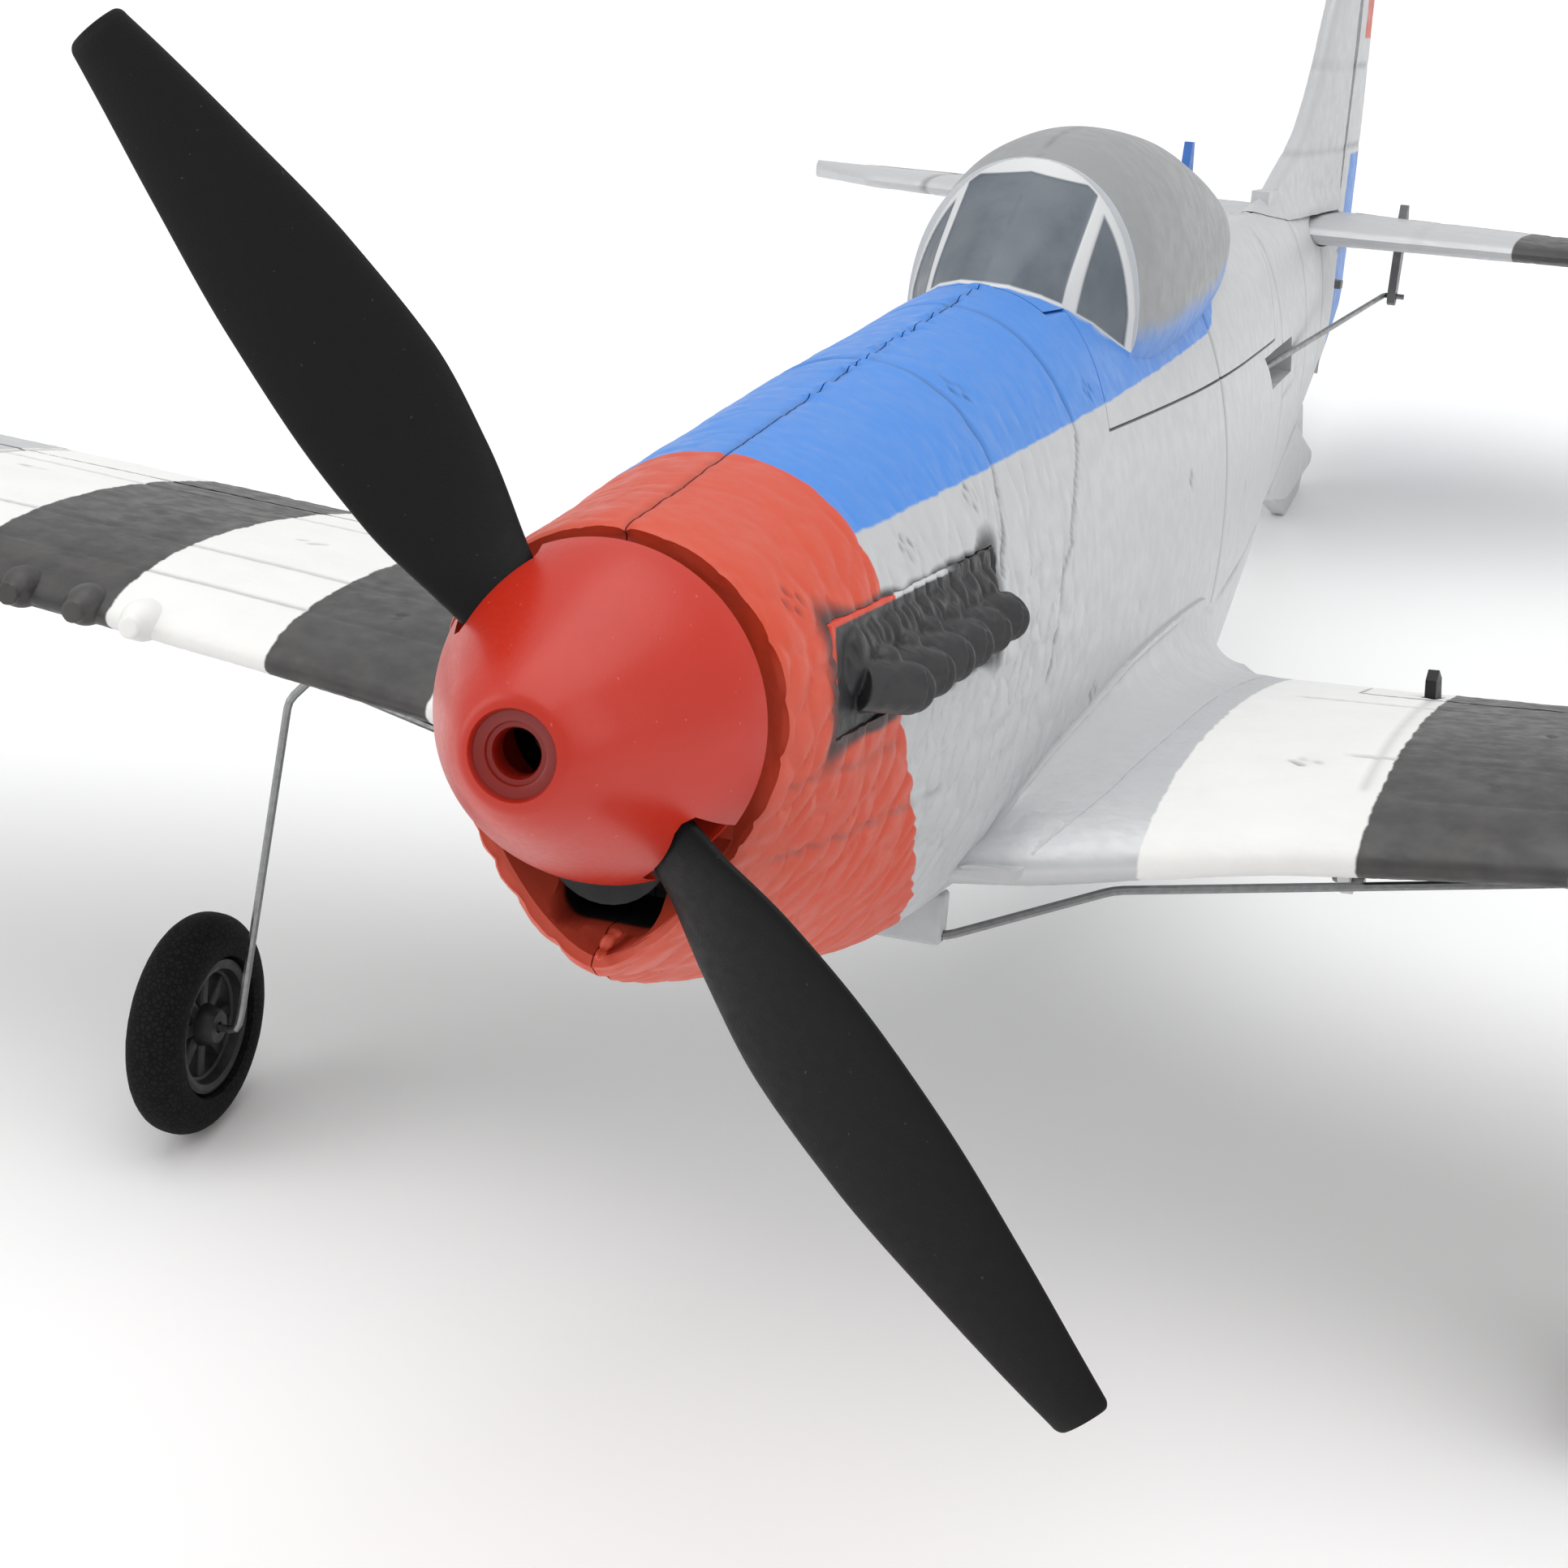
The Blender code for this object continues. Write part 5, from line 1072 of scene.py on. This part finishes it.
class Look:
    """A material with short helpers for its node tree. Places are in millimetres: the paint coordinates
    of a visual piece, or a CAD node's own coordinates."""

    def __init__(self, name, roughness, metallic=0.0, specular=0.5, own=False):
        self.material = bpy.data.materials.new(name)
        self.material.use_nodes = True
        self.nodes = self.material.node_tree.nodes
        self.links = self.material.node_tree.links
        self.shader = self.nodes["Principled BSDF"]
        self.shader.inputs["Roughness"].default_value = roughness
        self.shader.inputs["Metallic"].default_value = metallic
        self.shader.inputs["Specular IOR Level"].default_value = specular
        if own:
            coordinates = self.nodes.new("ShaderNodeTexCoord")
            scale = self.nodes.new("ShaderNodeVectorMath")
            scale.operation = "SCALE"
            scale.inputs["Scale"].default_value = 1 / MM
            self.links.new(coordinates.outputs["Object"], scale.inputs[0])
            self.place = scale.outputs[0]
        else:
            attribute = self.nodes.new("ShaderNodeAttribute")
            attribute.attribute_name = "paint"
            self.place = attribute.outputs["Vector"]
        split = self.nodes.new("ShaderNodeSeparateXYZ")
        self.links.new(self.place, split.inputs[0])
        self.x, self.y, self.z = (Field(self, output) for output in split.outputs)
        # Painted shade for grooves, pits and seam, read from the groove attribute.
        groove = self.nodes.new("ShaderNodeAttribute")
        groove.attribute_name = "groove"
        self.groove = Field(self, groove.outputs["Fac"])
        self.side = self.calc("ABSOLUTE", self.x)

    def feed(self, socket, value):
        if isinstance(value, (int, float)):
            socket.default_value = value
        elif isinstance(value, tuple):
            socket.default_value = (*value, 1)
        else:
            self.links.new(getattr(value, "socket", value), socket)

    def add(self, kind, inputs):
        node = self.nodes.new("ShaderNode" + kind)
        for name, value in inputs.items():
            self.feed(node.inputs[name], value)
        return node

    def calc(self, operation, a, b=None):
        node = self.nodes.new("ShaderNodeMath")
        node.operation = operation
        self.feed(node.inputs[0], a)
        if b is not None:
            self.feed(node.inputs[1], b)
        return Field(self, node.outputs[0])

    def ramp(self, value, low, high, start=0.0, end=1.0):
        node = self.add("MapRange", {"Value": value, "From Min": low, "From Max": high, "To Min": start,
                                     "To Max": end})
        node.interpolation_type = "SMOOTHSTEP"
        return Field(self, node.outputs[0])

    def fall(self, value, low, high):
        """1 below low, 0 above high."""
        return self.ramp(value, low, high, 1.0, 0.0)

    def between(self, value, low, high, soft=0.15):
        rise = self.ramp(value, low - soft, low + soft)
        return rise * self.fall(value, high - soft, high + soft)

    def larger(self, a, b):
        return self.calc("MAXIMUM", a, b)

    def away(self, value, middle):
        return self.calc("ABSOLUTE", value - middle)

    def length(self, a, b):
        return self.calc("SQRT", a * a + b * b)

    def mix(self, share, a, b):
        node = self.nodes.new("ShaderNodeMix")
        node.data_type = "RGBA"
        for name, value in (("Factor", share), ("A", a), ("B", b)):
            self.feed(node.inputs[name], value)
        return node.outputs["Result"]

    def noise(self, scale, detail=3.0, roughness=0.5):
        node = self.add("TexNoise", {"Vector": self.place, "Scale": scale, "Detail": detail,
                                     "Roughness": roughness})
        return Field(self, node.outputs["Fac"])

    def patchy(self, scale, detail, start, end):
        """Soft patches between two values."""
        return self.ramp(self.noise(scale, detail), 0.3, 0.7, start, end)

    def beads(self, scale):
        node = self.add("TexVoronoi", {"Vector": self.place, "Scale": scale})
        node.feature = "DISTANCE_TO_EDGE"
        return Field(self, node.outputs["Distance"])

    def curve(self, value, points):
        """A piecewise line through (position, result) points."""
        node = self.nodes.new("ShaderNodeFloatCurve")
        low, high = points[0][0], points[-1][0]
        bottom = min(p[1] for p in points)
        top = max(p[1] for p in points)
        line = node.mapping.curves[0]
        while len(line.points) < len(points):
            line.points.new(0.5, 0.5)
        for knot, (position, result) in zip(line.points, points):
            knot.location = ((position - low) / (high - low), (result - bottom) / (top - bottom))
            knot.handle_type = "VECTOR"
        node.mapping.update()
        share = self.add("MapRange", {"Value": value, "From Min": low, "From Max": high})
        self.feed(node.inputs["Value"], share.outputs[0])
        return Field(self, node.outputs[0]) * (top - bottom) + bottom

    def bump(self, height, distance, strength=1.0, after=None):
        node = self.add("Bump", {"Strength": strength, "Distance": distance * MM, "Height": height})
        if after is not None:
            self.links.new(after, node.inputs["Normal"])
        return node.outputs[0]

    def done(self, colour, roughness=None, normal=None, metallic=None):
        self.feed(self.shader.inputs["Base Color"], colour)
        for name, value in (("Roughness", roughness), ("Normal", normal), ("Metallic", metallic)):
            if value is not None:
                self.feed(self.shader.inputs[name], value)
        return self.material


def foam_finish(look, colour, silver=None):
    """Painted foam: painted shade in its grooves, faintly mottled, with beads and fine grain under the
    paint.
    """
    mottle = look.noise(0.12, 4.0, 0.6)
    colour = look.mix(look.ramp(mottle, 0.35, 0.7, 0.0, 0.05), colour, (0.32, 0.33, 0.34))
    # Painted shade: the grooves, pits and seam are darkened by the groove attribute.
    colour = look.mix(look.groove * 0.62, colour, (0.05, 0.055, 0.06))
    beads = look.bump(look.ramp(look.beads(0.55), 0.0, 0.25), 0.05, 0.2)
    grain = look.bump(look.noise(2.5, 4.0, 0.6), 0.04, 0.45, beads)
    rough = look.patchy(0.5, 3.0, 0.36, 0.5)
    metal = silver * 0.35 if silver is not None else None
    return look.done(colour, rough, grain, metal)


def body_colour(look):
    """Silver foam with the red cowl and the blue deck; gives the colour and the share that is silver."""
    drop = look.larger(look.z * -1.0, 0.0)
    edge = drop * 0.8 + 23.0 + drop * drop * 0.013
    waver = (look.noise(0.35, 2.0) - 0.5) * 0.7
    red = look.ramp(edge - look.y + waver, -0.14, 0.14)
    behind = look.larger(look.y - 150.0, 0.0)
    deck = look.y * 0.0475 + 10.26
    deck = deck + behind * behind * 0.022
    blue = look.ramp(look.z - deck + waver * 0.5, -0.14, 0.14)
    colour = look.mix(blue, SILVER, BLUE)
    colour = look.mix(red, colour, RED)
    silver = (1.0 - blue) * (1.0 - red)
    return colour, silver


def fuselage_look():
    look = Look("painted_fuselage_foam", 0.42, specular=0.45)
    colour, silver = body_colour(look)
    middle = (look.y - STRIP_MIDDLE) * 0.018 + 2.5
    along = look.larger(look.away(look.y, STRIP_MIDDLE) - 19.6, 0.0)
    high = look.larger(look.away(look.z, middle) - 4.4, 0.0)
    ragged = look.length(along, high) + (look.noise(0.18, 1.0) - 0.5) * 1.2
    ends = look.ramp(look.away(look.y, STRIP_MIDDLE), 14.0, 20.0, 0.55, 1.9)
    soot = look.ramp(ragged / ends, 0.1, 1.35, 0.95, 0.0)
    soot *= look.ramp(look.side, 10.5, 12.0)
    colour = look.mix(soot, colour, SOOT)
    # Painted shade: dark red inside the nose bore, behind the spinner.
    inner = look.fall(look.length(look.x, look.z), 11.3, 11.6)
    inner *= look.fall(look.y, 24.0, 26.0)
    colour = look.mix(inner * 0.92, colour, (0.09, 0.005, 0.003))
    # Painted shade: near-black inside the chin duct.
    duct = look.ramp(look.y, 6.0, 7.0) * look.fall(look.side, 4.6, 4.9)
    duct *= look.between(look.z, -17.4, -6.0)
    duct *= look.fall(look.y, 17.0, 19.0)
    colour = look.mix(duct, colour, (0.006, 0.006, 0.006))
    return foam_finish(look, colour, silver)


def hatch_look():
    """Body paint below, slate panes in white frames, and a grey bubble that fades out at its foot."""
    look = Look("painted_hatch_foam", 0.36, specular=0.5)
    colour, silver = body_colour(look)
    foot = look.z - look.curve(look.side, [(p[0], p[2]) for p in SCREEN_FOOT])
    front = look.fall(look.side, PILLAR_X - 0.55, PILLAR_X - 0.35)
    front *= look.fall(look.z + look.side * 0.15, 35.05, 35.25)
    front *= look.ramp(foot, 0.35, 0.55)
    flank = look.ramp(look.side, PILLAR_X + 0.45, PILLAR_X + 0.65)
    flank *= look.fall(look.y, 109.8, 110.0)
    flank *= look.ramp(foot, 0.2, 0.4)
    glass = look.fall(look.y, 110.5, 110.7) * look.larger(front, flank)
    frames = look.ramp(foot, 0.1, 0.25)
    frames *= look.fall(look.y, 111.0, 111.2)
    haze = look.patchy(0.1, 1.0, -0.3, 0.3)
    base = look.curve(look.y, [(111.0, 19.0), (130.0, 20.3), (150.0, 21.6), (170.0, 23.4), (185.0, 25.4),
                               (195.0, 27.2)])
    dome = look.ramp(look.z - base + haze, -0.9, 2.6)
    dome *= look.ramp(look.y, 111.0, 111.2)
    colour = look.mix(dome, colour, DUSK)
    colour = look.mix(frames, colour, (0.62, 0.63, 0.64))
    streak = look.ramp(look.noise(0.25, 3.0), 0.3, 0.75, 0.0, 0.5)
    pane = look.mix(streak, SLATE, (0.16, 0.18, 0.2))
    colour = look.mix(glass, colour, pane)
    silver *= (1.0 - look.larger(frames, dome))
    return foam_finish(look, colour, silver)


def wing_look():
    look = Look("painted_wing_foam", 0.42, specular=0.45)
    waver = (look.noise(0.5, 2.0) - 0.5) * 0.6
    out = look.side + waver
    inner, one, two, three, four, outer = STRIPES
    white = look.between(out, inner, outer)
    black = look.larger(look.between(out, one, two), look.between(out, three, four))
    colour = look.mix(white, SILVER, WHITE)
    # The black stripes lightened in soft random patches.
    patchy_black = look.mix(look.patchy(0.3, 3.0, 0.0, 0.35), STRIPE_BLACK, (0.1, 0.095, 0.09))
    colour = look.mix(black, colour, patchy_black)
    return foam_finish(look, colour, 1.0 - white)


def tail_look():
    look = Look("painted_tail_foam", 0.42, specular=0.45)
    flat = look.between(look.z, 19.5, 25.5)
    band = look.between(look.side, *TAIL_BAND) * flat
    colour = look.mix(band, SILVER, STRIPE_BLACK)
    return foam_finish(look, colour, 1.0 - band)


def rudder_look():
    look = Look("painted_rudder_foam", 0.42, specular=0.45)
    blue = look.fall(look.z, 32.6, 33.0) * look.ramp(look.y, 302.0, 302.4)
    red = look.ramp(look.z, 50.0, 50.4) * look.ramp(look.y, 302.0, 302.4)
    colour = look.mix(blue, SILVER, BLUE)
    colour = look.mix(red, colour, RED)
    return foam_finish(look, colour, 1.0 - look.larger(blue, red))


def spinner_look():
    look = Look("satin_red_plastic", 0.3, specular=0.5)
    dust = look.ramp(look.noise(1.6, 2.0, 0.4), 0.74, 0.78)
    colour = look.mix(look.patchy(0.15, 2.0, 0.0, 0.25), (0.5, 0.018, 0.004), (0.43, 0.014, 0.003))
    colour = look.mix(dust * 0.25, colour, (0.7, 0.3, 0.25))
    # Painted shade: darker inside the centre hole and on the ring round it.
    centre = look.length(look.x, look.z)
    deep = look.fall(centre, 3.1, 3.3) * look.ramp(look.y, -15.7, -15.5, 0.55, 0.75)
    colour = look.mix(deep, colour, (0.12, 0.002, 0.001))
    rough = look.patchy(2.0, 4.0, 0.3, 0.36)
    return look.done(colour, rough, look.bump(look.noise(4.5, 3.0), 0.012, 0.6))


def plastic_look(name, colour, worn, roughness, own=True):
    look = Look(name, roughness, specular=0.3, own=own)
    patches = look.ramp(look.noise(0.3, 4.0, 0.6), 0.35, 0.75, 0.0, 0.6)
    rough = look.patchy(0.8, 3.0, roughness - 0.06, roughness + 0.08)
    return look.done(look.mix(patches, colour, worn), rough, look.bump(look.noise(3.0, 4.0), 0.03, 0.7))


def prop_look():
    look = Look("matte_black_nylon", 0.5, specular=0.2)
    specks = look.ramp(look.noise(2.4, 1.0, 0.3), 0.78, 0.81)
    colour = look.mix(specks * 0.08, (0.004, 0.004, 0.0045), (0.35, 0.35, 0.35))
    grain = look.bump(look.noise(6.0, 3.0, 0.6), 0.035, 0.9)
    return look.done(colour, look.patchy(1.0, 3.0, 0.42, 0.52), grain)


def exhaust_look():
    look = Look("painted_exhaust_foam", 0.45, specular=0.4)
    line = (look.y - 10.0) * 0.02 + 6.2
    band = look.ramp(look.z - line, -0.12, 0.12) * look.fall(look.y, 36.0, 40.0)
    front = look.fall(look.y, 11.6, 12.0) * look.ramp(look.z, 0.5, 1.5)
    red = look.fall(look.y, 24.8, 25.2)
    rim = look.mix(red, SILVER, (0.62, 0.05, 0.02))
    colour = look.mix(look.patchy(0.6, 3.0, 0.0, 0.5), SOOT, (0.04, 0.04, 0.043))
    colour = look.mix(look.larger(band, front), colour, rim)
    return look.done(colour, look.patchy(0.9, 3.0, 0.36, 0.52), look.bump(look.noise(2.5), 0.06, 0.7))


def tyre_look():
    look = Look("black_foam_rubber", 0.8, specular=0.12)
    pores = look.ramp(look.beads(1.6), 0.0, 0.25)
    colour = look.mix(pores, (0.004, 0.004, 0.004), (0.011, 0.011, 0.011))
    return look.done(colour, None, look.bump(pores, 0.05, 0.6))


def metal_look(name, colour, roughness):
    look = Look(name, roughness, metallic=1.0, own=True)
    drawn = look.noise(1.5, 4.0, 0.7)
    tone = look.mix(look.ramp(drawn, 0.3, 0.7, 0.0, 0.5), colour, tuple(0.6 * part for part in colour))
    rough = look.patchy(0.9, 4.0, roughness - 0.08, roughness + 0.12)
    return look.done(tone, rough, look.bump(drawn, 0.01, 0.5))


def wood_look():
    look = Look("birch_ply", 0.6, specular=0.3, own=True)
    wave = look.add("TexWave", {"Vector": look.place, "Scale": 0.25, "Distortion": 6.0, "Detail": 3.0})
    colour = look.mix(wave.outputs["Fac"], (0.55, 0.38, 0.2), (0.38, 0.24, 0.12))
    return look.done(colour, None, look.bump(wave.outputs["Fac"], 0.05, 0.5))


LOOKS = {
    "fuselage": fuselage_look(),
    "hatch": hatch_look(),
    "wing": wing_look(),
    "tail": tail_look(),
    "rudder": rudder_look(),
    "spinner": spinner_look(),
    "prop": prop_look(),
    "exhaust": exhaust_look(),
    "tyre": tyre_look(),
    "plastic": plastic_look("black_moulded_plastic", (0.012, 0.012, 0.013), (0.03, 0.03, 0.03), 0.38, False),
    "clip": plastic_look("grey_moulded_plastic", (0.5, 0.51, 0.52), (0.42, 0.43, 0.44), 0.4, own=False),
}


STEEL_NODES = ["prop_shaft", "prop_screw", "motor_can", "elevator_joiner", "elevator_pushrod",
               "rudder_pushrod", "aileron_pushrod_left", "aileron_pushrod_right", "landing_gear_wire",
               "hatch_magnet", "fuselage_magnet"]
BRASS_NODES = ["front_bushing", "rear_bushing", "motor_pinion"]
WHITE_NODES = ["spur_gear", "aileron_servo_arm_left", "aileron_servo_arm_right", "elevator_servo_arm",
               "rudder_servo_arm"]


def dress_cad():
    """Materials for the CAD nodes that no visual piece replaces."""
    black = plastic_look("black_nylon_parts", (0.014, 0.014, 0.015), (0.035, 0.035, 0.035), 0.42)
    looks = {
        "battery": plastic_look("blue_cell_wrap", (0.03, 0.09, 0.26), (0.05, 0.13, 0.32), 0.3),
        "receiver_board": plastic_look("green_circuit_board", (0.015, 0.13, 0.045), (0.02, 0.2, 0.07), 0.35),
        "antenna_mast": plastic_look("blue_mast_paint", (0.05, 0.16, 0.5), (0.07, 0.2, 0.55), 0.45),
    }
    looks["firewall"] = looks["battery_tray"] = wood_look()
    grey = plastic_look("grey_nylon_parts", (0.16, 0.16, 0.165), (0.22, 0.22, 0.22), 0.4)
    looks["elevator_horn"] = looks["rudder_horn"] = grey
    steel = metal_look("drawn_steel", (0.3, 0.305, 0.31), 0.36)
    brass = metal_look("turned_brass", (0.72, 0.5, 0.2), 0.32)
    white = plastic_look("white_nylon_parts", (0.72, 0.72, 0.7), (0.62, 0.62, 0.59), 0.42)
    for names, look in ((STEEL_NODES, steel), (BRASS_NODES, brass), (WHITE_NODES, white)):
        looks.update(dict.fromkeys(names, look))
    for name, obj in frame["nodes"].items():
        for slot in obj.material_slots:
            slot.material = looks.get(name, black)


# Stage -----------------------------------------------------


def camera():
    """The view from ahead and to port, close to the spinner."""
    eye = Vector((80.78, -214.22, 52.0))
    right = Vector((0.94451, 0.316465, 0.08804)).normalized()
    forward = Vector((-0.288574, 0.927441, -0.237862)).normalized()
    above = right.cross(forward)
    data = bpy.data.cameras.new("camera")
    data.sensor_width = 36.0
    data.lens = 75.717
    data.clip_start = 0.01
    data.clip_end = 20.0
    obj = bpy.data.objects.new("camera", data)
    bpy.context.scene.collection.objects.link(obj)
    turn = Matrix((right, above, -forward)).transposed().to_4x4()
    rotation = PLACE.to_3x3().normalized().to_4x4() @ turn
    obj.matrix_world = Matrix.Translation(PLACE @ eye) @ rotation
    bpy.context.scene.camera = obj


def lamp(name, place, target, size, power, colour=(1, 1, 1)):
    data = bpy.data.lights.new(name, "AREA")
    data.shape = "RECTANGLE"
    data.size, data.size_y = size
    data.energy = power
    data.color = colour
    obj = bpy.data.objects.new(name, data)
    bpy.context.scene.collection.objects.link(obj)
    obj.location = place
    obj.rotation_euler = (Vector(target) - Vector(place)).to_track_quat("-Z", "Y").to_euler()


def stage():
    bm = bmesh.new()
    bmesh.ops.create_grid(bm, x_segments=8, y_segments=8, size=4.0)
    floor = from_bmesh("floor", bm)
    if floor.data.polygons[0].normal.z < 0:
        floor.data.flip_normals()
    paper = bpy.data.materials.new("white_paper")
    paper.use_nodes = True
    shader = paper.node_tree.nodes["Principled BSDF"]
    shader.inputs["Base Color"].default_value = (0.94, 0.94, 0.94, 1)
    shader.inputs["Roughness"].default_value = 0.9
    shader.inputs["Specular IOR Level"].default_value = 0.1
    floor.data.materials.append(paper)
    world = bpy.data.worlds.new("studio")
    world.use_nodes = True
    world.node_tree.nodes["Background"].inputs["Color"].default_value = (1, 1, 1, 1)
    world.node_tree.nodes["Background"].inputs["Strength"].default_value = 0.7
    bpy.context.scene.world = world
    lamp("top_softbox", (0.05, 0.1, 1.1), (0, 0, 0), (1.2, 1.2), 6.6)
    lamp("left_softbox", (-0.75, -0.45, 0.45), (0, -0.1, 0.08), (0.5, 0.9), 1.9)
    lamp("right_softbox", (0.85, -0.25, 0.6), (0, -0.1, 0.08), (0.5, 0.9), 1.4)
    bpy.context.scene.view_settings.view_transform = "Standard"


camera()
stage()
fuselage()
for side, tag in ((1, "left"), (-1, "right")):
    root_fillet(side, "wing_fillet_" + tag)
    wing(side)
    exhaust(side, "exhaust_" + tag)
    wheel(side, tag)
tail()
nose()
belly_clip()
for cutter in cutters:
    bpy.data.objects.remove(cutter)
dress_cad()
